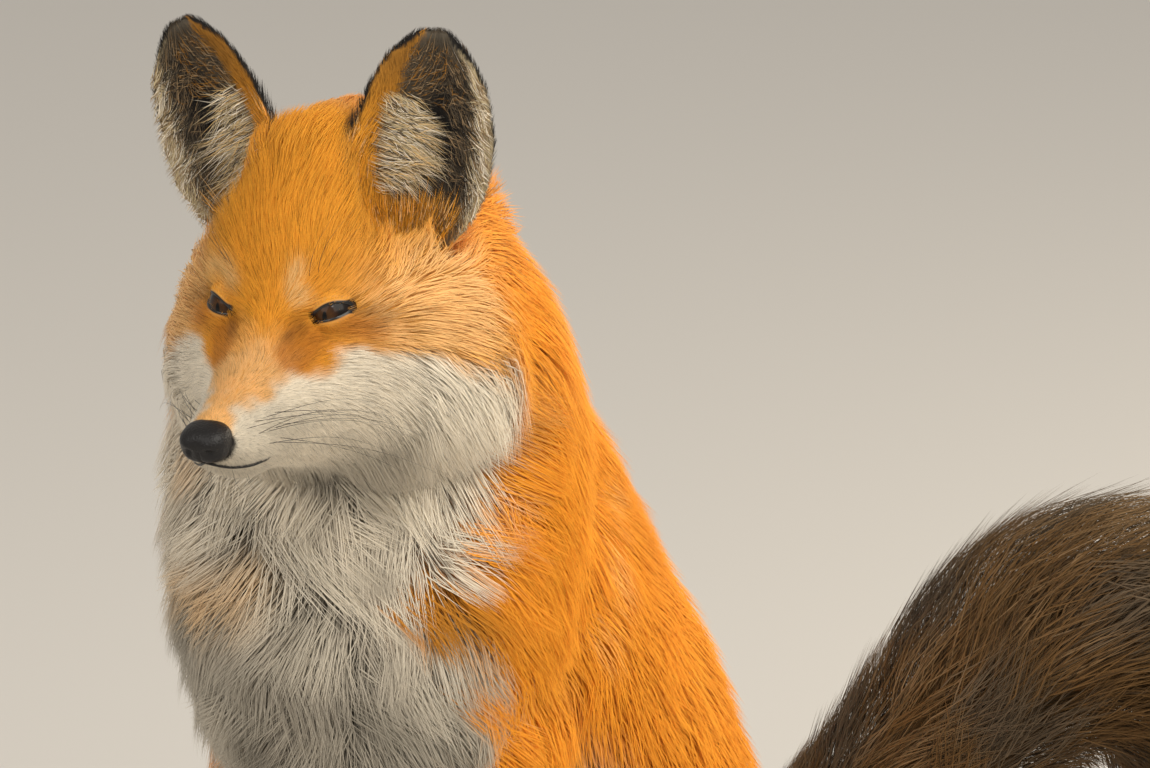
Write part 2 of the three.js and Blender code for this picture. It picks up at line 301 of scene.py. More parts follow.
HINDFOOT = [
    [80, -2, 34, 8, 10, 12, 3],
    [81, -14, 29, 18, 24, 28, 4],
    [82, -56, 24, 19, 21, 26, 3.5],
    [83, -102, 20, 19, 18, 22, 3],
    [84, -142, 18, 21.5, 18, 20, 2.6],
    [85, -170, 14, 20, 13, 16, 2.2],
    [85, -186, 9, 11, 6, 9, 1.5],
]
TAIL = [
    [2, -2, 62, 14, 14, 14, 4],
    [20, 30, 66, 26, 26, 26, 10],
    [58, 70, 88, 38, 38, 38, 18],
    [104, 114, 138, 53, 53, 53, 27],
    [148, 154, 190, 66, 66, 66, 35],
    [190, 186, 192, 69, 69, 69, 37],
    [222, 210, 148, 61, 61, 61, 33],
    [248, 228, 96, 49, 49, 49, 26],
    [272, 243, 54, 35, 35, 35, 19],
    [296, 256, 20, 19, 18, 22, 10],
    [314, 265, 5, 4, 4, 8, 2.5],
]
NAPE = [
    [0, -200, 376, 50, 40, 30, 14],
    [0, -182, 358, 76, 60, 40, 20],
    [0, -159, 332, 84, 61, 40, 21],
    [0, -135, 310, 80, 60, 40, 20],
    [0, -112, 284, 50, 36, 30, 14],
]
# In the head's frame, with the coat's depth at the sides, on top and below.
HEAD = [
    [0, -134, -6, 14, 14, 14, 8, 8, 8],
    [0, -124, -8, 40, 36, 40, 12, 10, 14],
    [0, -106, -18, 55, 58, 52, 17, 10, 18],
    [0, -84, -30, 69, 84, 60, 20, 10, 20],
    [0, -60, -40, 79, 104, 56, 21, 10, 18],
    [0, -38, -43, 77, 107, 49, 17, 8.5, 14],
    [0, -18, -42, 62, 85, 41, 9.5, 6.5, 10],
    [0, -2, -39, 43, 56, 34, 5, 4.2, 7],
    [0, 12, -37, 31, 34, 29, 2.8, 2.8, 4.5],
    [0, 25, -37, 22.5, 23.5, 24, 2.0, 2.0, 3.2],
    [0, 38, -38, 18.5, 18.5, 20.5, 1.6, 1.6, 2.6],
    [0, 50, -38.5, 15.5, 14.5, 15.5, 1.4, 1.3, 2.2],
    [0, 57.5, -38, 13, 12, 10.5, 1.1, 1.0, 1.8],
    [0, 64, -37, 9, 8.5, 7, 0.8, 0.8, 1.2],
    [0, 67.5, -36.5, 3, 3.5, 3.5, 0.5, 0.5, 0.6],
]
HEAD_TAPER = 0.24
HEAD_AXIS_DROP = 38  # how far the middle of the skull lies below the point between the eyes
# Rises and hollows of the face: x, y, z, reach, height.
FACE = [
    [23, 4, -6, 11, -3.5],
    [21, -12, 14, 13, 4],
    [0, 6, -4, 10, -2.5],
    [30, 6, -30, 14, 2.5],
    [11, 46, -44, 10, 2.2],
    [0, 40, -58, 9, 2],
    [66, -52, -52, 26, 5],
    [24, -46, 48, 15, 6.5],
]
# A toe's stations: share of the toe's offset, y from its end, z, half width, above, below, coat's depth.
TOE = [
    [0.9, 30, 12, 4.5, 4.5, 5, 1],
    [1, 16, 11, 5.8, 6.2, 7, 1],
    [1, 5, 8.5, 5.8, 6.2, 6, 1],
    [1, -1, 7, 2.5, 2.5, 3, 1],
]
TOE_OFFSETS = [-14, -5, 5, 14]  # how far each toe's middle is from the paw's
TOE_ARC = 0.033  # how fast the outer toes fall back behind the middle ones
PAW_TIPS = {"foreleg": (40, -306), "hindfoot": (84.5, -187)}  # x and y of a left paw's end
STEP = {1: (-4, 3), -1: (3, -3)}  # how far the fore and the hind foot of each side are set off in y


# %% An ellipse carried along a path
def along(rows, t):
    """Rows of numbers read at shares t of their length, on a smooth curve through them all: an eased
    step from one row to the next, plus the slopes that the rows on either side give."""
    rows = np.asarray(rows, float)
    last = len(rows) - 1
    span = np.clip(t, 0, 1) * last
    i = np.minimum(span.astype(int), last - 1)
    f = (span - i)[:, None]
    a, b, c, d = (rows[np.clip(i + k, 0, last)] for k in (-1, 0, 1, 2))
    ease = f * f * (3 - 2 * f)
    return b + (c - b) * ease + (c - a) / 2 * f * (1 - f) ** 2 - (d - b) / 2 * f * f * (1 - f)


def wall_faces(rings, sides):
    """Triangles of an open tube whose points are rings of sides points."""
    r, s = np.meshgrid(np.arange(rings - 1), np.arange(sides), indexing="ij")
    a = (r * sides + s).ravel()
    b = (r * sides + (s + 1) % sides).ravel()
    return np.concatenate([np.stack([a, b, b + sides], 1), np.stack([a, b + sides, a + sides], 1)])


def tube_faces(rings, sides):
    """Triangles of the same tube closed on two more points, which follow those of the rings."""
    s = np.arange(sides)
    on = (s + 1) % sides
    first = np.full(sides, rings * sides)
    far = (rings - 1) * sides
    ends = [np.stack([first, on, s], 1), np.stack([first + 1, far + s, far + on], 1)]
    return np.concatenate([wall_faces(rings, sides), *ends])


def body_form(rows, steps, sides, mirror=1, shift=0, taper=0, facing=None):
    """An ellipse carried along the stations and drawn in by the coat's depth, with its rings closer
    together at both ends. A taper narrows its upper half towards the top. Returns its points as rings,
    and for each point the way the path runs and the depth of the coat there."""
    r = np.arange(steps + 1) / steps
    t = (1 - np.cos(np.pi * r)) * 0.15 + 0.7 * r
    at = along(rows, t)
    path = along(rows, np.minimum(t + 0.01, 1))[:, :3] - along(rows, np.maximum(t - 0.01, 0))[:, :3]
    tangent = unit(path)
    if facing is not None:
        tangent[:] = facing
    side = np.cross([0.0, 0, 1], tangent)
    steep = np.hypot(tangent[:, 0], tangent[:, 1]) < 0.5
    side[steep] = np.array([1.0, 0, 0]) - tangent[steep] * tangent[steep, :1]
    side = unit(side)
    side *= np.where(side[:, :1] < 0, -1, 1)
    above = unit(np.cross(side, tangent))
    above *= np.where(above[:, 2:] + above[:, 1:2] * 0.5 < 0, -1, 1)
    angle = 2 * np.pi * np.arange(sides) / sides
    c, d = np.cos(angle), np.sin(angle)
    upper = d > 0
    deep = at[:, 6:]
    if deep.shape[1] == 3:
        wide, tall = deep[:, :1], np.where(upper, deep[:, 1:2], deep[:, 2:3])
        depth = wide * c ** 2 + tall * d ** 2
    else:
        wide = tall = deep
        depth = np.repeat(deep, sides, 1)
    across = (at[:, 3:4] * (1 - taper * np.maximum(d, 0)) - wide) * c
    lift = (np.where(upper, at[:, 4:5], at[:, 5:6]) - tall) * d
    ring = at[:, None, :3] + side[:, None] * across[..., None] + above[:, None] * lift[..., None]
    ring[0] += tangent[0] * depth[0, 0]
    ring[-1] -= tangent[-1] * depth[-1, 0]
    ring[..., 1] += shift
    flow = np.repeat(tangent[:, None], sides, 1)
    ring[..., 0] *= mirror
    flow[..., 0] *= mirror
    return ring, flow, depth


def head_form(steps, sides):
    """The head: its stations kept square to the muzzle's line, then raised and hollowed by the FACE
    bumps, each a bell curve of the distance from its middle."""
    ring, flow, depth = body_form(HEAD, steps, sides, taper=HEAD_TAPER, facing=(0, 1, 0))
    out = unit(ring * [1, 0, 1] + [0, 0, HEAD_AXIS_DROP])
    for x, y, z, reach, height in FACE:
        away = (np.abs(ring[..., 0]) - x) ** 2 + (ring[..., 1] - y) ** 2 + (ring[..., 2] - z) ** 2
        ring = ring + out * (height * np.exp(-away / reach ** 2))[..., None]
    return ring, -flow, depth


def toe_rows(foot, table):
    """The stations of each toe or claw of a left foot, from a table whose first two columns are a share
    of the toe's offset and a distance in y from its end."""
    x, y = PAW_TIPS[foot]
    return [[[x + offset * share, y + TOE_ARC * offset ** 2 + dy, *rest] for share, dy, *rest in table]
            for offset in TOE_OFFSETS]


print("stations:", sum(map(len, (TRUNK, NECK, NAPE, FORELEG, FOREPAW, THIGH, HINDFOOT, TAIL, HEAD))))


# %% [markdown]
# ## The ears
#
# A fox's ear is a thin cupped leaf. Its places are given by u, from base to tip, and v, from its inner
# edge at -1 to its outer edge at 1. The cup is a parabola across the leaf, deepest near the base. In
# front of each ear the head is cut away, so that the cup runs down into it.

# %% Ear surface
EARS = {
    1: dict(base=[38, -50, 6], tip=[50, -62, 93], turn=17),
    -1: dict(base=[30, -50, 6], tip=[60.5, -58, 92], turn=5),
}
EAR_HALF_WIDTH = np.array([[14, 22, 27.5, 29, 28, 25, 18.5, 7]]).T
EAR_CUP = np.array([[16, 19, 18, 15, 11, 7, 4, 1]]).T
EAR_SET_BACK = 0.6
EAR_NOTCH = 16
EAR_MOUTH = 0.75


def ear_axes(side):
    """An ear's base, its axis to the tip, the way across it and the way it opens."""
    base, tip = np.array(EARS[side]["base"], float), np.array(EARS[side]["tip"], float)
    turn = np.radians(EARS[side]["turn"])
    opening = np.array([np.sin(turn), np.cos(turn), 0])
    axis = tip - base
    return base, axis, unit(np.cross(opening, axis)), opening


def ear_point(side, u, v, lift):
    """The place at height u and share v across an ear, lift in front of the middle of its leaf."""
    base, axis, across, opening = ear_axes(side)
    half = along(EAR_HALF_WIDTH, u.ravel())[:, 0].reshape(u.shape)
    cup = along(EAR_CUP, u.ravel())[:, 0].reshape(u.shape)
    out = cup * (v * v - EAR_SET_BACK) + lift
    place = base + axis * u[..., None] + across * (half * v)[..., None] + opening * out[..., None]
    return place * [side, 1, 1]


def ear_rings(side, heights, sides, reach, lift):
    """Rings round an ear at these heights: lift(u, v, front) is the height of its front or back."""
    u, angle = np.meshgrid(heights, 2 * np.pi * np.arange(sides) / sides, indexing="ij")
    v = np.cos(angle) * reach
    return ear_point(side, u, v, lift(u, v, np.sin(angle)))


def closed(ring):
    """The points and triangles of a tube with both ends closed on their middles."""
    points = np.concatenate([ring.reshape(-1, 3), ring[:1].mean(1), ring[-1:].mean(1)])
    faces = tube_faces(ring.shape[0], ring.shape[1])
    a, b, c = (points[faces[:, k]] for k in range(3))
    if np.einsum("ij,ij->", a, np.cross(b, c)) < 0:
        faces = faces[:, ::-1]
    return points, faces


# %% [markdown]
# ## One skin
#
# Overlapping closed forms are melted into one by a voxel remesh, which keeps only the outermost
# surface. A few rounds of averaging with the neighbours then smooth the joins, as if skin were drawn
# over them, and a decimation brings the count down where the surface is plain.

# %% Gather the forms
PARTS = ["trunk", "neck", "head", "ear", "foreleg", "thigh", "hindfoot", "tail"]
forms = []
guides = []


def add_form(part, ring, flow, depth, in_head=False):
    """Keeps a form for the skin, and its rings as guides for the coat."""
    place = from_head if in_head else lambda p: p * MM
    forms.append(closed(place(ring)))
    flow = flow @ HEAD_AXES.T if in_head else flow
    guides.append((PARTS.index(part), place(ring).reshape(-1, 3), flow.reshape(-1, 3), depth.ravel() * MM))


add_form("trunk", *body_form(TRUNK, 40, 48))
add_form("neck", *body_form(NECK, 30, 48))
add_form("neck", *body_form(NAPE, 24, 48))
add_form("tail", *body_form(TAIL, 60, 28))
for side, (fore, hind) in STEP.items():
    add_form("foreleg", *body_form(FORELEG, 30, 28, side, fore))
    add_form("foreleg", *body_form(FOREPAW, 20, 28, side, fore))
    add_form("thigh", *body_form(THIGH, 26, 32, side, hind))
    add_form("hindfoot", *body_form(HINDFOOT, 26, 28, side, hind))
    for foot, shift in zip(PAW_TIPS, (fore, hind)):
        for rows in toe_rows(foot, TOE):
            add_form(foot, *body_form(rows, 12, 16, side, shift))
add_form("head", *head_form(70, 72), in_head=True)
skull = forms.pop()
EAR_HEIGHTS = np.linspace(0, 0.985, 34)
EAR_COAT = 2.0  # depth of the coat on the ears


def ear_thickness(u, v, front):
    """Half of an ear's thickness: a blunt-edged section, thinner towards the tip."""
    return np.sign(front) * np.abs(front) ** 0.4 * (2.0 - 0.7 * u)


for side, _ in SIDES:
    leaf = ear_rings(side, EAR_HEIGHTS, 40, 0.97, ear_thickness)
    _, axis, _, _ = ear_axes(side)
    upward = np.broadcast_to(axis * [side, 1, 1], leaf.shape)
    add_form("ear", leaf, unit(upward), np.full(leaf.shape[:2], EAR_COAT), in_head=True)
print("forms:", len(forms), "and the head")


# %% Melt them into one skin
def modified(obj, kind, **settings):
    """The object's mesh after one modifier, in place of what it had."""
    modifier = obj.modifiers.new(kind.lower(), kind)
    for name, value in settings.items():
        setattr(modifier, name, value)
    made = bpy.data.meshes.new_from_object(obj.evaluated_get(bpy.context.evaluated_depsgraph_get()))
    obj.modifiers.clear()
    obj.data = made
    return obj


def hollow_rings(side):
    """The hollow in front of an ear: its back is the cup of the leaf, its front bulges forward."""

    def lift(u, v, front):
        return np.where(front < 0, 0, EAR_CUP[0, 0] * (1 - v * v) + EAR_NOTCH * (1.1 - u))

    return ear_rings(side, np.linspace(0, EAR_MOUTH, 12), 32, 0.92, lift)


VOXEL = 1.7 * MM
SKIN_TRIANGLES = 160000
head_piece = mesh_object("head_form", *skull)
for side, _ in SIDES:
    cutter = mesh_object("ear_hollow", *closed(from_head(hollow_rings(side))))
    modified(head_piece, "BOOLEAN", operation="DIFFERENCE", object=cutter, solver="MANIFOLD")
    bpy.data.objects.remove(cutter)
head_mesh = head_piece.data
head_mesh.calc_loop_triangles()
triangles = head_mesh.loop_triangles
head_faces = get_array(triangles, "vertices", len(triangles) * 3, np.int32)
forms.append((get_points(head_mesh), head_faces.reshape(-1, 3)))
bpy.data.objects.remove(head_piece)
starts = np.cumsum([0] + [len(p) for p, _ in forms])
all_points = np.concatenate([p for p, _ in forms])
all_faces = np.concatenate([f + s for (_, f), s in zip(forms, starts)])
skin = mesh_object("skin", all_points, all_faces)
modified(skin, "REMESH", mode="VOXEL", voxel_size=VOXEL)
modified(skin, "SMOOTH", factor=0.5, iterations=6)
faces_now = sum(len(p.vertices) - 2 for p in skin.data.polygons)
modified(skin, "TRIANGULATE")
modified(skin, "DECIMATE", ratio=min(1, SKIN_TRIANGLES / faces_now))
modified(skin, "SMOOTH", factor=0.5, iterations=2)
print("skin:", faces_now, "triangles remeshed,", len(skin.data.polygons), "kept")

# %% [markdown]
# ## Sockets
#
# An eyeball is held by lids that wrap round it. So wherever the skin would pass through the ball, it is
# pushed out to lie on it like a lid, and inside the almond of the opening it is pushed back behind it.
# The almond is measured in two angles seen from the middle of the ball: along the slit and across it.

# %% Eye frame
EYE_RADIUS = 9.0
EYE_LOOK = unit(np.array([0.444, 0.846, 0.298]))
EYE_SLIT = unit(np.cross(np.cross(EYE_LOOK, [0.849, -0.503, 0.163]), EYE_LOOK))
EYE_UP = np.cross(EYE_SLIT, EYE_LOOK)
SLIT_HALF = 0.94  # radians from the middle of the slit to its corners
SLIT_UPPER, SLIT_LOWER = 0.33, 0.21
LID = 1.0  # thickness of the skin on the ball


def eye_angles(points_in_head):
    """For places in the head's frame: their distance from the nearer eyeball's middle and their two
    angles from its line of sight, along the slit (outwards) and across it (upwards)."""
    q = mirrored(points_in_head) - EYE_CENTRE
    r = np.linalg.norm(q, axis=1)
    x, y, z = q @ EYE_SLIT, q @ EYE_UP, q @ EYE_LOOK
    turn = np.arctan2(np.hypot(x, y), z)
    flat = np.maximum(np.hypot(x, y), 1e-9)
    return r, turn * x / flat, turn * y / flat


def slit_measure(along_slit, across, margin=0.0):
    """Below 1 inside the almond (grown by a margin in radians), above 1 outside it."""
    tall = np.where(across > 0, SLIT_UPPER, SLIT_LOWER) + margin
    return np.hypot(along_slit / (SLIT_HALF + margin), across / tall)


# %% Shape the sockets
SOCKET_REACH, SOCKET_TURN = 26, 2.0  # millimetres and radians within which the skin is moved
SOCKET_ROUNDING = 1.2  # how softly the skin comes to lie on the ball
SOCKET_DEPTH = 3  # how far the skin of the opening lies behind the front of the ball
OPENING_MARGIN = 0.25  # how much wider than the slit the opening is, in radians
FLOOR_CLEAR = 1.5 * MM
points = get_points(skin.data)
in_head = to_head(points)
r, a, b = eye_angles(in_head)
near_eye = (r < SOCKET_REACH) & (np.hypot(a, b) < SOCKET_TURN)
lid_radius = EYE_RADIUS + LID
# The greater of the two radii, rounded off where they cross.
outside = (r + lid_radius + np.sqrt((r - lid_radius) ** 2 + SOCKET_ROUNDING)) / 2
open_share = 1 - smooth_step(slit_measure(a, b, OPENING_MARGIN), 0.9, 1.15)
new_r = np.where(near_eye, outside + (EYE_RADIUS - SOCKET_DEPTH - outside) * open_share, r)
centre = EYE_CENTRE * np.where(in_head[:, :1] < 0, [-1, 1, 1], [1, 1, 1])
points = from_head(centre + (in_head - centre) * (new_r / r)[:, None])
points[:, 2] = np.maximum(points[:, 2], FLOOR_CLEAR)
skin.data.vertices.foreach_set("co", points.astype(np.float32).ravel())
skin.data.update()
print("skin points moved for the eyes:", int(near_eye.sum()))

# %% [markdown]
# ## Unwrap
#
# The skin is cut into flat islands. Every lock of fur later takes the place of its root on this
# unwrap, so that its place there tells which bit of skin it grows from.

# %% Unwrap the skin
bpy.context.view_layer.objects.active = skin
skin.select_set(True)
bpy.ops.object.mode_set(mode="EDIT")
bpy.ops.mesh.select_all(action="SELECT")
bpy.ops.uv.smart_project(angle_limit=1.15, island_margin=0.001)
bpy.ops.object.mode_set(mode="OBJECT")
skin.select_set(False)
skin.data.uv_layers[0].name = "OFBake"
skin_uv = get_array(skin.data.uv_layers[0].data, "uv", len(skin.data.loops) * 2, np.float32).reshape(-1, 3, 2)
print("unwrap:", skin_uv.min(), skin_uv.max())

# %% [markdown]
# ## The lie of the coat
#
# Hair never grows straight out of a fox. It leans from the nose back over the skull, down the neck and
# chest, along the back to the rump and down each leg. Here every point of the skin gets the way its
# hair lies, the depth of its coat and how much it belongs to each part of the body. They come from the
# rings that the forms were drawn with: near a few of them a point takes their average, weighted by a
# bell curve of distance.

# %% Skin as arrays
points = get_points(skin.data)
normals = get_array(skin.data.vertex_normals, "vector", len(points) * 3, np.float32).reshape(-1, 3)
normals = normals.astype(float)
corner_vertex = get_array(skin.data.loops, "vertex_index", len(skin.data.loops), np.int32).reshape(-1, 3)
edges = get_array(skin.data.edges, "vertices", len(skin.data.edges) * 2, np.int32).reshape(-1, 2)


def neighbour_table(edges, count):
    """For each vertex a row of its neighbours, filled up with the vertex itself."""
    both = np.concatenate([edges, edges[:, ::-1]])
    both = both[np.argsort(both[:, 0], kind="stable")]
    first = np.searchsorted(both[:, 0], np.arange(count))
    column = np.arange(len(both)) - first[both[:, 0]]
    table = np.repeat(np.arange(count)[:, None], column.max() + 2, 1)
    table[both[:, 0], column] = both[:, 1]
    return table


neighbours = neighbour_table(edges, len(points))


def averaged(field, rounds):
    """A field on the skin, each point's value replaced by the mean of it and its neighbours'."""
    for _ in range(rounds):
        field = field[neighbours].mean(1)
    return field


GUIDE_REACH = 11 * MM
GUIDE_EVERY = 9  # one in so many of the rings' points is a guide
BATCHES = 24  # the skin is worked through in so many parts, to spare memory
FIELD_ROUNDS, NORMAL_ROUNDS, LIE_ROUNDS = 4, 6, 8  # how often each field is averaged
guide_place = np.concatenate([g[1] for g in guides])[::GUIDE_EVERY]
guide_flow = np.concatenate([g[2] for g in guides])[::GUIDE_EVERY]
guide_depth = np.concatenate([g[3] for g in guides])[::GUIDE_EVERY]
guide_part = np.concatenate([np.full(len(g[1]), g[0]) for g in guides])[::GUIDE_EVERY]
guide_values = np.hstack([guide_flow, guide_depth[:, None], np.eye(len(PARTS))[guide_part]])
fields = np.zeros((len(points), guide_values.shape[1]))
for rows in np.array_split(np.arange(len(points)), BATCHES):
    gap = ((points[rows] ** 2).sum(1)[:, None] + (guide_place ** 2).sum(1)[None]
           - 2 * points[rows] @ guide_place.T)
    weight = np.exp(-(gap - gap.min(1, keepdims=True)) / GUIDE_REACH ** 2)
    fields[rows] = weight @ guide_values / weight.sum(1, keepdims=True)
path_flow, coat_depth, share = fields[:, :3], fields[:, 3], fields[:, 4:]
share = averaged(share, FIELD_ROUNDS)
coat_depth = averaged(coat_depth, FIELD_ROUNDS)
part_share = dict(zip(PARTS, share.T))
print("guides:", len(guide_place), "coat from", round(coat_depth.min() / MM, 1),
      "to", round(coat_depth.max() / MM, 1), "mm deep")


# %% Which way the hair lies
def head_lie(h):
    """In the head's frame: back from the nose, fanned outwards, up over the brow and down on the
    cheeks."""
    x, y, z = h.T
    fan = 0.011 * x
    climb = np.clip((z + 8) * 0.02, -0.75, 0.6) * (1 + 0.8 * smooth_step(-y, -5, 25))
    return np.stack([fan, -np.ones_like(y), climb], 1)


in_head = to_head(points)
head_way = unit(head_lie(in_head)) @ HEAD_AXES.T
x_share = points[:, 0] / (80 * MM)
behind = np.clip((points[:, 1] + 0.25) / 0.1, 0, 1)
down = -np.ones(len(points))
neck_way = unit(np.stack([(1.4 - 0.85 * behind) * x_share, 0.1 + 0.45 * behind, down], 1))
thigh_way = unit(np.stack([0.1 * x_share, np.full(len(points), -0.25), down], 1))
trunk_way = unit(path_flow) + np.stack([0.15 * x_share, 0 * x_share, 0.45 * down], 1)
leg_way = unit(path_flow)
ways = {"trunk": trunk_way, "neck": neck_way, "head": head_way, "ear": leg_way, "foreleg": leg_way,
        "thigh": thigh_way, "hindfoot": leg_way, "tail": leg_way}
lie = sum(part_share[part][:, None] * unit(way) for part, way in ways.items())
flat_normals = unit(averaged(normals, NORMAL_ROUNDS))


def along_skin(vectors):
    """Vectors laid flat on the skin and made one long."""
    return unit(vectors - flat_normals * (vectors * flat_normals).sum(1, keepdims=True))


lie = along_skin(averaged(along_skin(lie), LIE_ROUNDS))
print("lie: from", len(ways), "parts, blended where they meet")

# %% [markdown]
# ## How long the hair is
#
# Hair is longest where the coat is deep. On the face it is only a few millimetres long, and it grows
# in steps over the brow to the cheek ruff. Elsewhere it is about twice the depth of the coat, because
# it lies along the body at a low angle.

# %% Length of the hair
hair_ratio = {"trunk": 2.2, "neck": 1.7, "head": 1.9, "ear": 3.0, "foreleg": 3.0, "thigh": 2.3,
              "hindfoot": 3.0, "tail": 1.9}
hair_length = coat_depth * sum(part_share[part] * ratio for part, ratio in hair_ratio.items())
print("hair from", round(hair_length.min() / MM, 1), "to", round(hair_length.max() / MM, 1), "mm")

# %% [markdown]
# ## Markings
#
# A red fox is painted by nature with a few plain areas: white on the cheeks, lips, throat and chest,
# black on the stockings and behind the ears, rust at the sides of the muzzle, gold on the face and
# deep orange on the body, with a grizzled brush. Each area is a mask from 0 to 1, worked out from the
# place on the body, with a ragged edge. Skin and hair are painted by the same functions. On top come
# a few marks of painted shade: under the jaw, low on the chest, in the chest's gaps with their dark
# wool, in a notch of the white's edge and deep in each ear's cup. The roots are darker than the tips,
# partly as the real wool under the coat and partly as painted shade deep in it.

# %% Paint box: linear colours
PAINT = {
    "orange": (0.88, 0.34, 0.024),
    "deep": (0.72, 0.235, 0.014),
    "gold": (0.76, 0.33, 0.030),
    "pale": (0.88, 0.52, 0.20),
    "peach": (0.77, 0.45, 0.175),
    "apricot": (0.80, 0.50, 0.22),
    "white": (0.86, 0.77, 0.62),
    "grey": (0.13, 0.115, 0.09),
    "wool": (0.085, 0.066, 0.045),
    "rust": (0.47, 0.155, 0.018),
    "umber": (0.11, 0.04, 0.008),
    "black": (0.013, 0.0115, 0.0105),
    "buff": (0.30, 0.20, 0.105),
    "sepia": (0.125, 0.066, 0.022),
    "cream": (0.62, 0.50, 0.30),
    "ochre": (0.30, 0.135, 0.022),
    "straw": (0.74, 0.50, 0.22),
}
# The orange coat's roots are darker than its tips, partly as the hair's real darker base and partly as
# painted shade deep in the coat.
ORANGE_ROOT = (0.68, 0.24, 0.02)
WAVES = unit(rng.normal(size=(7, 3)))
WAVE_SHIFT = rng.uniform(0, 6.28, 7)


def wobble(places, size):
    """A smooth uneven field from -1 to 1 with lumps of about the given size: a sum of seven waves."""
    return np.sin(places @ WAVES.T * (2.2 / size) + WAVE_SHIFT).sum(1) / 2.6


def spots(places, middles, reach, both_sides=True):
    """Bell curves round the middles, in millimetres, in the frame of the places. They are mirrored in x
    if they are on both sides, added and kept below 1."""
    q = mirrored(places) if both_sides else places
    total = 0
    for middle in middles:
        total = total + np.exp(-((q - middle) ** 2).sum(1) / reach ** 2)
    return np.minimum(total, 1)


# The head's markings are in its own frame, in millimetres. First comes the edge of the white on the
# cheek: how high it reaches at each y.
CHEEK_Y = [-90, -65, -46, -40, -28, -22, -14, -8, -3, 2, 11, 18, 30, 40, 50, 57, 66]
CHEEK_Z = [-80, -62, -47, -43, -35, -28, -23.5, -22, -18.5, -18, -21, -21.5, -25.5, -25, -27, -31, -40]
RUST = [[15, 8, -8], [14, 15, -13], [17, 17, -17], [20, 14, -16], [23, 6.5, -12], [33, 1, -7], [37, -5, -9],
        [43, -9, -12]]
TEAR = [[13, 11, -9], [16, 6, -6]]
EYE_STREAK = [[34.5, -6, 0.5], [37, -7.5, -0.5], [40, -9.5, -2], [44, -12, -4.5], [48, -14, -8]]
BROW_LEFT = [[13, -1, 16], [12, 1.4, 11], [13.5, 2.5, 6], [16.5, 2.5, 3]]
BROW_RIGHT = [[-24, -4, 13], [-31, -8.5, 10], [-38, -13, 6], [-19, -1, 8]]
FACE_SIDE = [[61, -31, -7], [68, -42, -11], [69, -58, -8], [54, -24, -8]]
# Painted shade under the jaw, laid as grey over the white of the throat.
THROAT_SHADE = [[27, -12, -79], [40, -16, -78], [12, -14, -82], [0, -20, -88]]
# The body's markings are in the fox's frame, in millimetres. First comes the edge of the white on the
# chest: how far it reaches to the left and to the right at each height.
BIB_Z = [120, 200, 250, 270, 282, 290, 296, 304, 309, 313, 325, 338, 351, 365, 384, 400, 420, 440, 460]
BIB_LEFT = [34, 50, 66, 68, 66, 56, 46, 44, 60, 72, 72, 69, 70, 74, 76, 72, 60, 40, 20]
BIB_RIGHT = [60, 90, 92, 90, 90, 90, 90, 90, 90, 90, 90, 90, 90, 88, 82, 74, 64, 40, 20]
# Gaps between the chest's clumps, darkened partly as the real dark wool and partly as painted shade,
# then the orange-tinged locks on its right.
CHEST_GAP_WOOL_AND_SHADE = [[19, -288, 364], [41, -282, 342], [34, -284, 324], [-7, -290, 293], [-6, -282, 258],
              [-24, -271, 241], [8, -290, 338], [-26, -284, 330], [28, -284, 290]]
CHEST_TINGE = [[-68, -254, 350], [-62, -262, 352], [-66, -256, 303], [-56, -268, 298], [-44, -277, 300],
               [-30, -284, 306]]
# Darker orange as painted shade in the notch of the white's left edge, and paler orange along the
# edge of the mane.
NOTCH = [[58, -266, 298], [48, -275, 306], [63, -259, 290]]
MANE_EDGE = [[77, -149, 328], [83, -158, 312], [86, -160, 297], [88, -168, 283], [86, -173, 268]]
# The tail is white past this place, along this way.
TAIL_WHITE = np.array([270, 242, 58])
TAIL_WAY = unit(np.array([0.51, 0.30, -0.81]))


def ear_place(h):
    """For places in the head's frame: height u, share v across and lift before the middle of the
    nearer ear."""
    left = h[:, 0] > 0
    out = np.zeros((len(h), 3))
    for side, mine in ((1, left), (-1, ~left)):
        base, axis, across, opening = ear_axes(side)
        q = h[mine] * [side, 1, 1] - base
        u = q @ axis / (axis @ axis)
        q = q - axis * u[:, None]
        half = along(EAR_HALF_WIDTH, u)[:, 0]
        v = q @ across / half
        lift = q @ opening - along(EAR_CUP, u)[:, 0] * (v * v - EAR_SET_BACK)
        out[mine] = np.stack([u, v, lift], 1)
    return out


class Dye:
    """The colours of the hair's tips and roots, which start as the body's orange and are painted over."""

    def __init__(self, count):
        self.tip = np.tile(PAINT["orange"], (count, 1))
        self.root = np.tile(ORANGE_ROOT, (count, 1))

    def paint(self, name, mask, under=None, under_name="grey"):
        """Mixes a colour into the tips by the mask, and, if under is given, that share of a second
        colour into the roots."""
        mask = np.clip(mask, 0, 1)[:, None]
        self.tip = self.tip + (np.array(PAINT[name]) - self.tip) * mask
        if under is not None:
            # A share below 1 darkens the roots, as painted shade deep in the coat.
            self.root = self.root + (np.array(PAINT[under_name]) * under - self.root) * mask


def dye_face(dye, h, head, rough):
    """Gold over the face, paler at its sides and on the bridge of the nose."""
    dye.paint("gold", head * smooth_step(h[:, 1] + rough, -95, -55), 0.8, "gold")
    dye.paint("peach", head * smooth_step(h[:, 1] + rough, 8, 24))
    dye.paint("pale", spots(h, FACE_SIDE, 22) * head)
    brow = spots(h, BROW_LEFT, 4.0, False) + spots(h, BROW_RIGHT, 5.0, False)
    dye.paint("straw", 0.7 * brow * head)


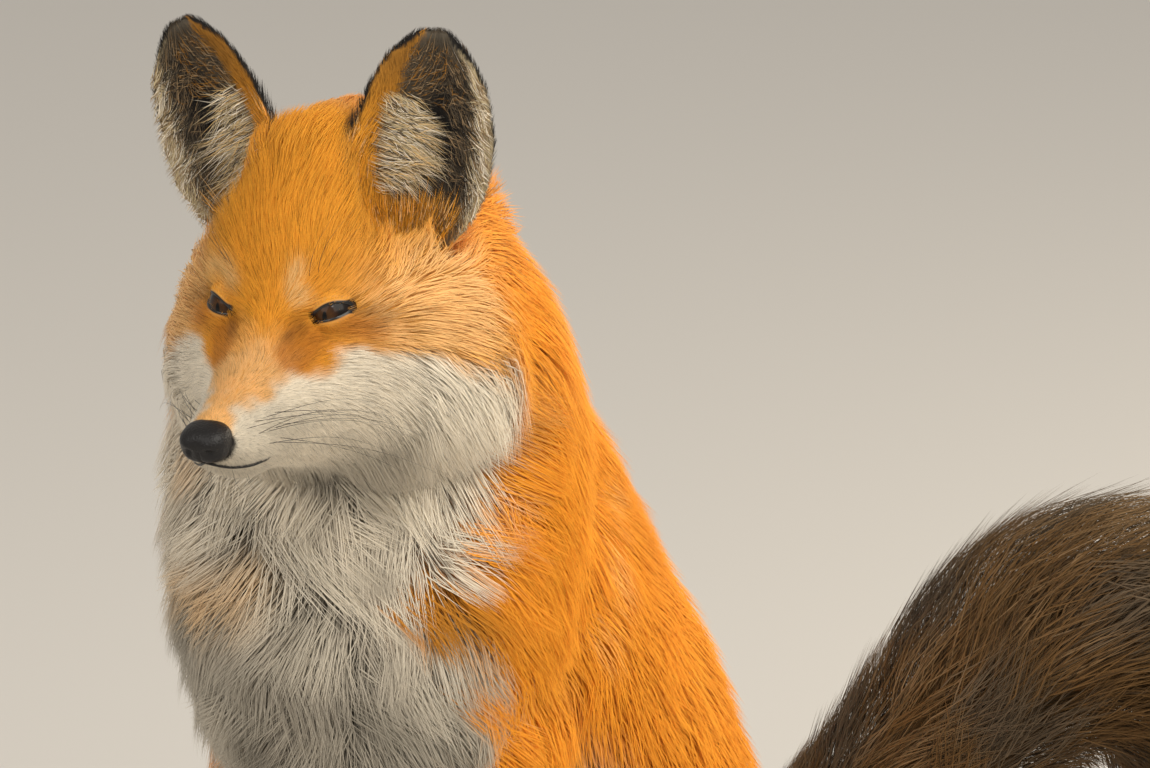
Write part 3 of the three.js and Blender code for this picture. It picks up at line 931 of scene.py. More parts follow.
def white_of_cheek(h, head, rough):
    """The share of white on the head: below the edge on the cheek, back to the end of the ruff."""
    edge = np.interp(h[:, 1], CHEEK_Y, CHEEK_Z)
    ruff_end = np.maximum(smooth_step(h[:, 1] + rough, -66, -56), smooth_step(-h[:, 2], 78, 90)
                          * smooth_step(-np.abs(h[:, 0]), -74, -64))
    blend = 3 + 5 * smooth_step(-h[:, 1], 12, 30)
    return head * smooth_step((edge - h[:, 2] + rough * 0.6) / blend, -0.9, 1.1) * ruff_end


def white_of_bib(x, y, z, facing, rough):
    """The share of white on the neck and chest: between the edges, on the side that faces forward."""
    edge = np.where(x > 0, np.interp(z, BIB_Z, BIB_LEFT), np.interp(z, BIB_Z, BIB_RIGHT))
    front = (smooth_step(-y + rough + 0.35 * np.maximum(-x, 0), 212, 237)
             * smooth_step(-facing[:, 2], -0.5, -0.2))
    return smooth_step(edge - np.abs(x) + rough * 1.6, -5, 7) * front


def dye_head_marks(dye, h, head, white, rough):
    """Rust beside the muzzle, dark streaks at the eyes' corners, black close round the nose pad, most
    below it and at its sides."""
    dye.paint("rust", 0.7 * spots(h, RUST, 5.5) * head * (1 - 0.9 * white), 0.8, "rust")
    dye.paint("umber", 0.6 * spots(h, TEAR, 3.0) * head)
    dye.paint("umber", 0.75 * spots(h, EYE_STREAK, 3.0) * head)
    nose_share = (np.linalg.norm((h - NOSE_AT) / NOSE_SIZE, axis=1)
                  + 0.05 * np.maximum(h[:, 2] - NOSE_AT[2], 0))
    dye.paint("black", head * (1 - smooth_step(nose_share + rough * 0.02, 1.15, 1.32)), 1.0, "black")


def dye_brush(dye, places, brush, facing, rough):
    """The brush: buff and grey with black tips, white at its very end."""
    dye.paint("sepia", brush, 0.7, "sepia")
    dye.paint("buff", 0.45 * brush * smooth_step(facing[:, 2] + 0.15 * rough, 0.3, 1.0))
    dye.paint("wool", brush * smooth_step(wobble(places, 22 * MM) + rough * 0.15, 0.0, 0.9) * 0.75)
    end = smooth_step((places / MM - TAIL_WHITE) @ TAIL_WAY + rough * 3, -12, 12)
    dye.paint("white", brush * end, 1.3)


def dye_ears(dye, h, ear_share, rough):
    """Ears: black behind, with an ochre rim, cream hair and painted shade deep in the hollow inside."""
    u, v, lift = ear_place(h).T
    v = v + rough * 0.012
    ear = (smooth_step(ear_share, 0.3, 0.7) * smooth_step(u, 0.0, 0.08)
           * smooth_step(-np.abs(v), -1.2, -1.06))
    low = 0.12 + 0.2 * smooth_step(-v, 0.3, 0.9)
    dye.paint("black", ear * (lift < 0) * smooth_step(u - low + rough * 0.01, 0, 0.18), 1.0, "black")
    inner = ear * (lift >= 0)
    dye.paint("wool", inner, 0.8)
    # Painted shade deep in the cup of the ear: black over the inner wool.
    hollow = np.exp(-((v - 0.2) / 0.3) ** 2 - ((u - 0.55) / 0.28) ** 2)
    dye.paint("black", inner * np.minimum(hollow * 1.3, 1), 0.6, "black")
    dye.paint("cream", inner * smooth_step(v, 0.66, 0.84) * 0.8, 0.5, "cream")
    band = smooth_step(-v, 0.38, 0.58)
    dye.paint("gold", inner * band, 0.7, "ochre")
    dye.paint("ochre", inner * band * smooth_step(u, 0.5, 0.85) * 0.9)
    dye.paint("gold", ear * (lift >= -1) * (1 - smooth_step(u, 0.08, 0.2)) * 0.8)
    rim = smooth_step(np.abs(v) + 2.2 * np.maximum(u - 0.86, 0), 0.88, 0.97) * smooth_step(u, 0.42, 0.6)
    dye.paint("black", ear * rim, 1.0, "black")


# %% The whole coat's colours
def coat_colours(places, parts, facing):
    """The colour of the hair at its tip and at its root and its share of white, for places on the skin
    with their shares of the body's parts and the skin's normals."""
    h = to_head(places)
    x, y, z = (places / MM).T
    rough = wobble(places, 9 * MM) * 2.5 + wobble(places, 3 * MM) * 1.5
    head = parts["head"]
    dye = Dye(len(places))
    dye.paint("deep", (0.5 + 0.5 * wobble(places, 40 * MM)) * 0.55 * smooth_step(y, -240, -120))
    dye.paint("pale", 0.42 * spots(places / MM, MANE_EDGE, 9) * smooth_step(rough, -2, 2))
    dye_face(dye, h, head, rough)
    # White on the cheeks, the chest and the belly, over grey wool on the body.
    belly = smooth_step(-facing[:, 2], 0.1, 0.6) * parts["trunk"]
    body = np.clip(parts["neck"] + parts["trunk"] + 0.5 * parts["foreleg"] * smooth_step(z, 200, 240), 0, 1)
    bib = white_of_bib(x, y, z, facing, rough)
    white = np.minimum(white_of_cheek(h, head, rough) + np.maximum(bib * body, belly), 1)
    dye.paint("white", white)
    dye.tip = dye.tip * (1 - 0.2 * white * head * smooth_step(h[:, 1], 15, 40))[:, None]
    # Under the white the roots are grey wool on the body and the white itself on the head, both darkened to
    # 0.6 as painted shade deep in the coat.
    under = np.where(head[:, None] > 0.5, np.array(PAINT["white"]) * 0.6, np.array(PAINT["grey"]) * 0.6)
    dye.root = dye.root + (under - dye.root) * white[:, None]
    # Painted shade darkens the chest downwards, and its gaps show dark wool and painted shade.
    chest = white * (1 - head)
    shade = 0.04 + 0.08 * wobble(places, 14 * MM) + 0.46 * smooth_step(-z - 0.2 * x, -345, -255)
    dye.tip = dye.tip * (1 - chest * shade)[:, None]
    # Painted shade under the jaw: grey over the white.
    dye.paint("grey", 0.38 * white * spots(h, THROAT_SHADE, 14, False))
    # Dark wool and painted shade in the gaps between the chest's clumps.
    dye.paint("wool", 0.5 * chest * spots(places / MM, CHEST_GAP_WOOL_AND_SHADE, 8.5, False))
    dye.paint("apricot", 0.6 * chest * spots(places / MM, CHEST_TINGE, 11, False))
    # Painted shade in the notch of the white's left edge: darker orange, and ochre at the roots.
    dye.paint("ochre", 0.6 * body * (1 - white) * spots(places / MM, NOTCH, 14, False), 0.8, "ochre")
    dye_head_marks(dye, h, head, white, rough)
    stocking = parts["foreleg"] * smooth_step(-z + rough * 4, -190, -110)
    sock = parts["hindfoot"] * smooth_step(np.abs(x) + rough * 0.5, 52, 60)
    dye.paint("black", np.maximum(stocking, sock), 1.0, "black")
    dye_brush(dye, places, parts["tail"], facing, rough)
    dye_ears(dye, h, parts["ear"], rough)
    return dye.tip, dye.root, white


tip_colour, root_colour, white_share = coat_colours(points + flat_normals * coat_depth[:, None] * 0.7,
                                                    part_share, flat_normals)
print("white covers", round(float(white_share.mean() * 100)), "% of the skin")

# %% [markdown]
# ## The finish of fur
#
# Every hair material works alike: the lock's own two colours are mixed from root to tip, fine streaks
# run along it, each lock is a little lighter or darker than the next, and the shader is soft and rough
# with some sheen. The streaks read the lock's own map, so they follow its length.

# %% Fur material
def fur_material(name, roughness, sheen, streak=0.14, tip_start=-0.1, tip_full=0.42):
    """Fur that mixes the attributes root_colour and tip_colour by how far along its lock a place is,
    then lightens and darkens it by streaks and by the lock's own chance."""
    material, shader, node, join = new_material(name, **{
        "Roughness": roughness, "Sheen Weight": sheen, "Sheen Roughness": 0.5, "Specular IOR Level": 0.12})
    lock = node("ShaderNodeAttribute", attribute_name="lock")
    parts = node("ShaderNodeSeparateColor")
    join(lock.outputs["Color"], parts.inputs["Color"])
    root = node("ShaderNodeAttribute", attribute_name="root_colour")
    tip = node("ShaderNodeAttribute", attribute_name="tip_colour")
    rise = node("ShaderNodeMapRange", {"From Min": tip_start, "From Max": tip_full},
                interpolation_type="SMOOTHSTEP")
    join(parts.outputs["Red"], rise.inputs["Value"])
    mix = node("ShaderNodeMix", data_type="RGBA")
    join(rise.outputs["Result"], mix.inputs["Factor"])
    join(root.outputs["Color"], mix.inputs["A"])
    join(tip.outputs["Color"], mix.inputs["B"])
    strands = node("ShaderNodeUVMap", uv_map="Lock")
    stretch = node("ShaderNodeMapping", {"Scale": (5.0, 1.6, 1.0)})
    join(strands.outputs["UV"], stretch.inputs["Vector"])
    noise = node("ShaderNodeTexNoise", {"Scale": 1.0, "Detail": 2.0})
    join(stretch.outputs["Vector"], noise.inputs["Vector"])
    streaks = node("ShaderNodeMapRange", {"From Min": 0.3, "From Max": 0.7, "To Min": 1 - streak,
                                          "To Max": 1 + streak})
    join(noise.outputs["Fac"], streaks.inputs["Value"])
    each = node("ShaderNodeMapRange", {"To Min": 0.87, "To Max": 1.12})
    join(parts.outputs["Green"], each.inputs["Value"])
    shade = node("ShaderNodeMath", operation="MULTIPLY")
    join(streaks.outputs["Result"], shade.inputs[0])
    join(each.outputs["Result"], shade.inputs[1])
    tint = node("ShaderNodeVectorMath", operation="SCALE")
    join(mix.outputs["Result"], tint.inputs["Vector"])
    join(shade.outputs["Value"], tint.inputs["Scale"])
    join(tint.outputs["Vector"], shader.inputs["Base Color"])
    return material


FUR = {
    "coat_orange": fur_material("coat_orange", 0.68, 0.03),
    "coat_white": fur_material("coat_white", 0.68, 0.12, tip_start=0.0, tip_full=0.7),
    "coat_black": fur_material("coat_black", 0.50, 0.03),
    "coat_brush": fur_material("coat_brush", 0.64, 0.03),
    "ear_fur": fur_material("ear_fur", 0.62, 0.08),
}


def put_attribute(mesh, name, domain, values):
    """A colour attribute of the mesh, from an array of three or four columns."""
    if values.shape[1] == 3:
        values = np.hstack([values, np.ones((len(values), 1))])
    layer = mesh.color_attributes.new(name, "FLOAT_COLOR", domain)
    layer.data.foreach_set("color", values.astype(np.float32).ravel())


# The bare skin takes about half of the roots' darker colour, so between the locks it shows their painted
# shade.
BARE_SKIN = [0.15, 0.5, 0]  # its place along a lock, near the root, and its chance
SKIN_STREAKS = 60  # how many times finer than the unwrap its streaks are
put_attribute(skin.data, "tip_colour", "POINT", tip_colour)
put_attribute(skin.data, "root_colour", "POINT", root_colour)
put_attribute(skin.data, "lock", "POINT", np.tile(BARE_SKIN, (len(points), 1)))
lock_map = skin.data.uv_layers.new(name="Lock")
lock_map.data.foreach_set("uv", (skin_uv * SKIN_STREAKS).astype(np.float32).ravel())
skin.data.materials.clear()
skin.data.materials.append(FUR["coat_orange"])
print("fur finishes:", ", ".join(FUR))

# %% [markdown]
# ## Locks of fur
#
# A lock is a thin closed spike with three sides: two that face out and one towards the skin. Short ones
# are straight, with four triangles. Long ones taper both ways from their middle, where they bend, with
# six. Each starts at a random place on the skin and is carried along it, step by step, the way the hair
# lies, so it follows the body's curves. Its middle and tip are then lifted off the skin, and drawn
# towards those of a nearby leader, which gathers the coat into clumps.

# %% Roots
corner_points = points[corner_vertex]
face_area = np.linalg.norm(np.cross(corner_points[:, 1] - corner_points[:, 0],
                                    corner_points[:, 2] - corner_points[:, 0]), axis=1) / 2
hair_width = (0.19 + 0.0072 * hair_length / MM) * MM
EYE_REACH = 20  # millimetres from the ball's middle within which the opening is left bare
r, a, b = eye_angles(in_head)
eye_gap = 1 - smooth_step(-slit_measure(a, b, 0.26), -1.1, -0.95) * (r < EYE_REACH)
nose_gap = smooth_step(np.linalg.norm((in_head - NOSE_AT) / NOSE_SIZE, axis=1), 1.0, 1.06)
not_bare = np.clip(eye_gap, 0, 1) * nose_gap
print("bare for the eyes and the nose:", int((not_bare < 0.5).sum()), "points of the skin")


def roots(where, coverage, coarse):
    """Random places on the skin, denser where the mask where is high and the hair is short. coverage
    is how many locks lie over each other, and coarse scales their width. Returns each place's triangle
    and its three weights."""
    density = coverage * where * not_bare / (0.5 * hair_length * hair_width * coarse)
    expected = face_area * density[corner_vertex].mean(1)
    count = rng.poisson(expected)
    face = np.repeat(np.arange(len(count)), count)
    weight = rng.dirichlet([1, 1, 1], len(face))
    return face, weight


def carried(place, vertex, turn, length, steps):
    """Carries places along the skin by a length, the way the hair lies turned by an angle. Returns the
    places and the skin's normals after each step."""
    rows = np.arange(len(place))
    step = (length / steps)[:, None]
    track = []
    for _ in range(steps):
        n = flat_normals[vertex]
        way = lie[vertex] * np.cos(turn)[:, None] + np.cross(n, lie[vertex]) * np.sin(turn)[:, None]
        place = place + way * step
        for _ in range(2):
            near = neighbours[vertex]
            gap = ((points[near] - place[:, None]) ** 2).sum(2)
            vertex = near[rows, gap.argmin(1)]
        n = flat_normals[vertex]
        place = place - n * ((place - points[vertex]) * n).sum(1, keepdims=True)
        track.append((place, n))
    return track


def nearest(places, others):
    """The number of the nearest of the others to each place."""
    found = np.zeros(len(places), int)
    for rows in np.array_split(np.arange(len(places)), len(places) * len(others) // 20_000_000 + 1):
        gap = (others ** 2).sum(1)[None] - 2 * places[rows] @ others.T
        found[rows] = gap.argmin(1)
    return found


# %% One region of the coat
PIECE_TRIANGLES = 195000
TUFT_PATCH = [0.0024, 0.003]  # width and height of a lock's place on the unwrap
STRAND_SHIFT = 40  # how far apart the locks' streaks are taken from the noise
HAIR_FLOOR = 0.3 * MM  # no hair goes lower than this
coat_pieces = []


def sew_locks(name, slot, ring, tip, root, uv, tip_paint, root_paint, chance, up_normal):
    """Builds the locks' mesh. ring holds three points of each lock's widest place (left edge, right edge,
    top) and tip its point. With root it tapers to that point too, else it is closed flat at the ring. The
    outer sides take soft normals from the skin's, so the coat shades as one surface. The underside, and
    any side that would face away from its soft normal, keeps its own."""
    n = len(tip)
    L, R, T, TIP, ROOT = range(5)
    tris = [(L, T, TIP), (T, R, TIP), (R, L, TIP)]
    if root is None:
        verts = np.concatenate([ring, tip[:, None]], 1)
        tris.append((L, R, T))
        outer = np.array([1, 1, 0, 0])
    else:
        verts = np.concatenate([ring, tip[:, None], root[:, None]], 1)
        tris += [(T, L, ROOT), (R, T, ROOT), (L, R, ROOT)]
        outer = np.array([1, 1, 0, 1, 1, 0])
    tris = np.array(tris)
    per_lock = verts.shape[1]
    rise = np.array([0, 0, 0, 1.0] if root is None else [0.5, 0.5, 0.5, 1, 0])
    side = np.array([0, 1, 0.5, 0.5, 0.5])[:per_lock]
    lean = np.array([-0.35, 0.35, 0, 0, 0])[:per_lock]
    a, b, c = (verts[:, tris[:, k]] for k in range(3))
    own = unit(np.cross(b - a, c - a))[:, :, None]
    across = unit(ring[:, R] - ring[:, L])[:, None, None]
    dressed = unit(up_normal[:, None, None] + across * lean[tris][None, ..., None] + 0.15 * own)
    soft = (outer[None, :, None, None] > 0) & ((dressed * own).sum(-1, keepdims=True) > 0)
    corner_normal = np.where(soft, dressed, own)
    pieces = -(-n * len(tris) // PIECE_TRIANGLES)
    for k, chosen in enumerate(np.array_split(np.arange(n), pieces)):
        m = len(chosen)
        label = name if pieces == 1 else f"{name}_{k + 1}"
        faces = (tris[None] + (np.arange(m) * per_lock)[:, None, None]).reshape(-1, 3)
        piece = mesh_object(label, verts[chosen].reshape(-1, 3), faces, FUR[slot])
        mesh = piece.data
        put_attribute(mesh, "tip_colour", "POINT", np.repeat(tip_paint[chosen], per_lock, 0))
        put_attribute(mesh, "root_colour", "POINT", np.repeat(root_paint[chosen], per_lock, 0))
        lock = np.stack([np.tile(rise, m), np.repeat(chance[chosen], per_lock), np.zeros(m * per_lock)], 1)
        put_attribute(mesh, "lock", "POINT", lock)
        spot = uv[chosen][:, None] + np.stack([side - 0.5, rise - 0.5], 1)[None] * TUFT_PATCH
        strand = np.stack([side, rise], 1)[None] + chance[chosen][:, None, None] * STRAND_SHIFT
        for layer_name, values in (("OFBake", np.clip(spot, 0, 1)), ("Lock", strand)):
            layer = mesh.uv_layers.new(name=layer_name)
            layer.data.foreach_set("uv", values[:, tris].astype(np.float32).ravel())
        custom = mesh.attributes.new("custom_normal", "FLOAT_VECTOR", "CORNER")
        custom.data.foreach_set("vector", corner_normal[chosen].astype(np.float32).ravel())
        ends = get_array(mesh.edges, "vertices", len(mesh.edges) * 2, np.int32).reshape(-1, 2) % per_lock
        hard = (ends != T).all(1) if root is not None else (ends != T).all(1) | (ends < TIP).all(1)
        mesh.attributes.new("sharp_edge", "BOOLEAN", "EDGE").data.foreach_set("value", hard)
        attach(piece, "root")
        coat_pieces.append(piece)
    print(f"{name}: {n} locks, {n * len(tris)} triangles in {pieces} pieces")


def widest(here, way, normal, half):
    """The three points of a lock's widest place: left edge, right edge and top."""
    across = unit(np.cross(way, normal))
    out = np.cross(across, way)
    half = half[:, None]
    return np.stack([here - across * half, here + across * half, here + out * half * 0.7], 1)


def grow(name, slot, where, coverage, long, coarse=1.0, stand=1.0, clump=0.0, clump_size=10 * MM, stray=0.12,
         cling=1.0, dark=0.0, wave=0.25, hang=0.0):
    """Grows the locks of one region. where is its mask on the skin, long chooses bent locks, stand
    scales how far they stand out, and clump is how strongly they gather. cling is 1 where tips follow
    the body and 0 where they run on straight. dark is the share of locks with dark tips, wave is how far
    the lie wavers, and hang is how far tips drop from a surface that faces down."""
    face, weight = roots(where, coverage, coarse)
    n = len(face)
    corner = corner_vertex[face]
    vertex = corner[np.arange(n), weight.argmax(1)]
    place = (points[corner] * weight[..., None]).sum(1)
    uv = (skin_uv[face] * weight[..., None]).sum(1)
    parts = {part: values[vertex] for part, values in part_share.items()}
    length = hair_length[vertex] * rng.uniform(0.72, 1.15, n)
    height = coat_depth[vertex] * rng.uniform(0.62, 1.0, n) * stand
    width = hair_width[vertex] * rng.uniform(0.75, 1.25, n) * coarse
    chance = rng.random(n)
    turn = rng.normal(0, stray, n) + wave * wobble(place, 13 * MM)
    steps = 12 if long else 5
    track = carried(place, vertex, turn, length, steps)
    start_normal = flat_normals[vertex]
    middle, middle_normal = track[steps // 2 - 1]
    end, end_normal = track[-1]
    onward = unit(middle - track[steps // 2 - 2][0]) * (length * 0.5)[:, None] + middle
    tip = end * cling + onward * (1 - cling) + end_normal * height[:, None]
    tip[:, 2] -= hang * length * smooth_step(-end_normal[:, 2], 0.0, 0.8)
    middle = middle + middle_normal * (height * 0.72)[:, None]
    if clump:
        leads = rng.random(n) < 0.5 * length * width / (coverage * clump_size ** 2)
        leader = np.flatnonzero(leads)[nearest(place, place[leads])]
        pull = clump * rng.uniform(0.6, 1.0, n)[:, None]
        tip = tip + (tip[leader] - tip) * pull
        middle = middle + (middle[leader] - middle) * pull * 0.45
        chance = 0.5 * chance + 0.5 * chance[leader]
    root_point = place - start_normal * 0.4 * MM
    if long:
        ring = widest(middle, unit(tip - root_point), middle_normal, width * 0.5)
    else:
        ring = widest(root_point, unit(tip - root_point), start_normal, width * 0.5)
    ring[..., 2] = np.maximum(ring[..., 2], HAIR_FLOOR)
    tip[:, 2] = np.maximum(tip[:, 2], HAIR_FLOOR)
    tip_paint, root_paint, _ = coat_colours(middle + (tip - middle) * 0.6, parts, start_normal)
    darker = np.where(rng.random(n) < dark, rng.uniform(0.30, 0.65, n), 1.0)[:, None]
    up_normal = unit(start_normal + end_normal)
    sew_locks(name, slot, ring, tip, root_point if long else None, uv, tip_paint * darker, root_paint, chance,
              up_normal)


# %% Regions of the coat
is_long = smooth_step(hair_length, 15 * MM, 17 * MM)
biggest = np.stack([part_share[p] for p in PARTS]).argmax(0)


def part_is(*names):
    """1 where one of the parts has the biggest share, else 0."""
    return np.isin(biggest, [PARTS.index(p) for p in names]).astype(float)


grow("coat_face", "coat_orange", part_is("head") * (1 - is_long), 2.6, long=False, clump=0.15,
     clump_size=4 * MM, stand=1.1, dark=0.12)
grow("coat_cheeks", "coat_white", part_is("head") * is_long, 5.2, long=True, clump=0.45, clump_size=7 * MM,
     cling=0.5, stand=1.05, dark=0.05, hang=0.55)
chest = part_is("neck") * (white_share > 0.5)
grow("coat_chest", "coat_white", chest, 7, long=True, clump=0.8, clump_size=8 * MM, cling=0.5, stand=1.15,
     stray=0.26, wave=0.3)
grow("coat_neck", "coat_orange", part_is("neck") - chest, 5.8, long=True, clump=0.45, clump_size=8 * MM,
     cling=0.6, stray=0.14, wave=0.2)
grow("coat_trunk", "coat_orange", part_is("trunk"), 2.9, long=True, coarse=1.3, clump=0.35, clump_size=8 * MM,
     cling=0.8)
grow("coat_thighs", "coat_orange", part_is("thigh"), 2.5, long=True, coarse=1.6, clump=0.4, clump_size=9 * MM)
grow("coat_tail", "coat_brush", part_is("tail"), 4.5, long=True, clump=0.45, clump_size=10 * MM, cling=0.6,
     stray=0.16, dark=0.3, hang=0.2)
legs = part_is("foreleg", "hindfoot")
grow("coat_legs_long", "coat_black", legs * is_long, 2.6, long=True, coarse=1.4, clump=0.3)
grow("coat_legs_short", "coat_black", legs * (1 - is_long), 1.0, long=False, coarse=3.4, clump=0.3, stand=1.6)
grow("coat_ears", "ear_fur", part_is("ear"), 1.8, long=False, coarse=1.7, dark=0.1)
total = sum(len(piece.data.polygons) for piece in coat_pieces)
print("coat:", total, "triangles in", len(coat_pieces), "pieces")

# %% [markdown]
# ## Hair inside the ears
#
# The inside of a fox's ear is nearly bare, but long pale hair grows on its inner wall and fans across
# the opening, and a shorter fringe leans in from the outer wall. These locks are placed in the ear's
# own coordinates, so they start on the leaf and end in front of it.

# %% Ear hair
EAR_FAN = {1: (0.23, 0.71), -1: (0.0, 0.66)}
EAR_FAN_REACH = {1: 0.68, -1: 0.95}
ear_vertices = np.flatnonzero(part_share["ear"] > 0.4)


def ear_hair(name, side, count, u_range, v_range, reach, rise, lift, colours, width, taper=0.3, crowd=1):
    """Locks that start at random u and v on the ear's front, reach across by a share of its width, rise
    by a share of its height and end lift in front of the leaf. Each is one of the colours. Locks at the
    ends of the range of u are shorter by the share taper, and crowd above 1 makes them fewer there."""
    u = u_range[0] + (u_range[1] - u_range[0]) * rng.beta(crowd, crowd, count)
    v = v_range[0] + (v_range[1] - v_range[0]) * rng.beta(crowd, crowd, count)
    middling = (2 * u - u_range[0] - u_range[1]) / (u_range[1] - u_range[0])
    run = rng.uniform(0.5, 1.1, count) * (1.1 - taper * middling ** 2)
    stray = rng.normal(0, 0.035, (2, count)) + 0.03 * np.sin(u * 34 + side) * [[1], [1.5]]
    out = rng.uniform(0.4, 1.2, count) * lift
    start = from_head(ear_point(side, u, v, np.full(count, 1.2)))
    middle = from_head(ear_point(side, u + rise * run * 0.3, v + reach * run * 0.5, out))
    tip = from_head(ear_point(side, u + rise * run + stray[0], v + reach * run + stray[1], out * 0.8))
    _, _, _, opening = ear_axes(side)
    facing = np.tile(opening * [side, 1, 1] @ HEAD_AXES.T, (count, 1))
    ring = widest(middle, unit(tip - start), facing, width * MM * rng.uniform(0.35, 0.65, count))
    pick = rng.integers(0, len(colours), count)
    tip_paint = np.array([PAINT[name] for name in colours])[pick] * rng.uniform(0.75, 1.15, (count, 1))
    place = skin_uv_of_vertex[ear_vertices[nearest(start, points[ear_vertices])]]
    # The roots are the tips' colour darkened to 0.4, as painted shade deep in the ear.
    sew_locks(name, "ear_fur", ring, tip, start, place, tip_paint, tip_paint * 0.4, rng.random(count), facing)


skin_uv_of_vertex = np.zeros((len(points), 2))
skin_uv_of_vertex[corner_vertex.ravel()] = skin_uv.reshape(-1, 2)
for side, label in SIDES:
    ear_hair(f"ear_inner_{label}", side, 900, (0.0, 0.5), (-1.02, -0.78), 0.10, 0.13, 2.5,
             ["gold", "gold", "pale", "ochre"], 0.30)
    ear_hair(f"ear_fan_{label}", side, 1800, EAR_FAN[side], (-0.82, -0.30), EAR_FAN_REACH[side], -0.07, 7.0,
             ["cream", "cream", "straw", "white", "wool"], 0.25, taper=0.6, crowd=1.8)
    ear_hair(f"ear_top_{label}", side, 700, (0.62, 0.90), (-0.60, 0.45), 0.28, 0.06, 3.0,
             ["buff", "wool", "ochre", "wool"], 0.26)
    ear_hair(f"ear_wall_{label}", side, 900, (0.22, 0.85), (0.45, 0.85), -0.25, 0.07, 3.5,
             ["wool", "wool", "buff", "black"], 0.26)
    ear_hair(f"ear_fringe_{label}", side, 900, (0.10, 0.78), (0.80, 1.0), -0.26, 0.08, 3.0,
             ["cream", "white", "buff"], 0.25)
    ear_hair(f"ear_foot_{label}", side, 900, (0.0, 0.14), (-0.75, 0.60), 0.12, 0.14, 6.0,
             ["gold", "gold", "ochre", "pale"], 0.32)

# %% [markdown]
# ## Eyes
#
# Each eyeball is a sphere with a slight bulge over the iris. Its rings run round the line of sight, so
# the iris can be painted by the angle from it: an upright slit for a pupil, a dark brown iris with
# fine fibres, and a nearly black rim. A clear coat makes it wet.

# %% Eyeballs
GAZE = unit(np.array([0.16, 0.98, 0.10]))
# Colours of the iris from its middle outwards, and how many fibres run round it.
IRIS_STOPS = [(0.0, (0.034, 0.015, 0.005)), (0.30, (0.048, 0.020, 0.006)), (0.50, (0.026, 0.010, 0.004)),
              (0.66, (0.006, 0.004, 0.003)), (1.0, (0.010, 0.007, 0.006))]
IRIS_FIBRES = 46.0
PUPIL_WIDE, PUPIL_TALL = 0.10, 0.26  # half its width and height, as angles in radians


def eyeball_rings(side):
    """Rings round the line of sight at angles t from it, bulging near it by a bell curve."""
    t = np.linspace(0.01, np.pi - 0.01, 60)[:, None, None]
    turn = (2 * np.pi * np.arange(64) / 64)[None, :, None]
    x = unit(np.cross([0, 0, 1.0], GAZE))
    z = np.cross(GAZE, x)
    ray = GAZE * np.cos(t) + (x * np.cos(turn) + z * np.sin(turn)) * np.sin(t)
    bulge = EYE_RADIUS * (1 + 0.045 * np.exp(-(t / 0.55) ** 2))
    return (EYE_CENTRE + ray * bulge) * [side, 1, 1], np.broadcast_to(t, ray.shape)[..., 0], turn[..., 0]


def eye_material():
    """Iris and pupil by the attribute iris: red is the angle from the line of sight, green the angle
    round it, blue the measure of the slit pupil. Clear coat on top."""
    material, shader, node, join = new_material("eye", **{
        "Roughness": 0.3, "Specular IOR Level": 0.1, "Coat Weight": 1.0, "Coat IOR": 1.18,
        "Coat Roughness": 0.02})
    iris = node("ShaderNodeAttribute", attribute_name="iris")
    parts = node("ShaderNodeSeparateColor")
    join(iris.outputs["Color"], parts.inputs["Color"])
    ramp = node("ShaderNodeValToRGB")
    stops = ramp.color_ramp.elements
    stops.remove(stops[0])
    stops[0].position, stops[0].color = IRIS_STOPS[0][0], (*IRIS_STOPS[0][1], 1)
    for position, colour in IRIS_STOPS[1:]:
        stops.new(position).color = (*colour, 1)
    join(parts.outputs["Red"], ramp.inputs["Fac"])
    spread = node("ShaderNodeCombineXYZ")
    times = node("ShaderNodeMath", {1: IRIS_FIBRES}, operation="MULTIPLY")
    join(parts.outputs["Green"], times.inputs[0])
    join(times.outputs["Value"], spread.inputs["X"])
    join(parts.outputs["Red"], spread.inputs["Y"])
    fibres = node("ShaderNodeTexNoise", {"Scale": 1.0}, noise_dimensions="2D")
    join(spread.outputs["Vector"], fibres.inputs["Vector"])
    bright = node("ShaderNodeMapRange", {"To Min": 0.55, "To Max": 1.5})
    join(fibres.outputs["Fac"], bright.inputs["Value"])
    tint = node("ShaderNodeVectorMath", operation="SCALE")
    join(ramp.outputs["Color"], tint.inputs["Vector"])
    join(bright.outputs["Result"], tint.inputs["Scale"])
    pupil = node("ShaderNodeMapRange", {"From Min": 0.46, "From Max": 0.54})
    join(parts.outputs["Blue"], pupil.inputs["Value"])
    dark = node("ShaderNodeMix", {"A": (0.003, 0.003, 0.003, 1)}, data_type="RGBA")
    join(pupil.outputs["Result"], dark.inputs["Factor"])
    join(tint.outputs["Vector"], dark.inputs["B"])
    join(dark.outputs["Result"], shader.inputs["Base Color"])
    return material


EYE_FINISH = eye_material()
for side, label in SIDES:
    ring, angle, turn = eyeball_rings(side)
    verts, faces = closed(from_head(ring))
    eyeball = mesh_object(f"eyeball_{label}", verts, faces, EYE_FINISH)
    along_x, along_z = angle * np.cos(turn), angle * np.sin(turn)
    pupil = np.hypot(along_x / PUPIL_WIDE, along_z / PUPIL_TALL) * 0.5
    iris = np.stack([angle, np.abs(turn / np.pi - 1) + 0 * angle, np.minimum(pupil, 1)], 2).reshape(-1, 3)
    iris = np.concatenate([iris, iris[:1] * 0, iris[-1:]])
    put_attribute(eyeball.data, "iris", "POINT", iris)
    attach(eyeball, "root")
    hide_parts(f"eye_{label}")
print("eyeballs:", round(2 * EYE_RADIUS, 1), "mm across")

# %% [markdown]
# ## Lids
#
# The lids are one ring of skin round each slit. Seen from the middle of the eyeball its inner edge is
# an almond with pointed corners. From there it turns outwards over the thickness of the lid, runs back
# over the ball with one soft fold, and dives under the skin of the face. Its edge is black and a
# little moist, as if drawn with a pen, and the black runs on past both corners.

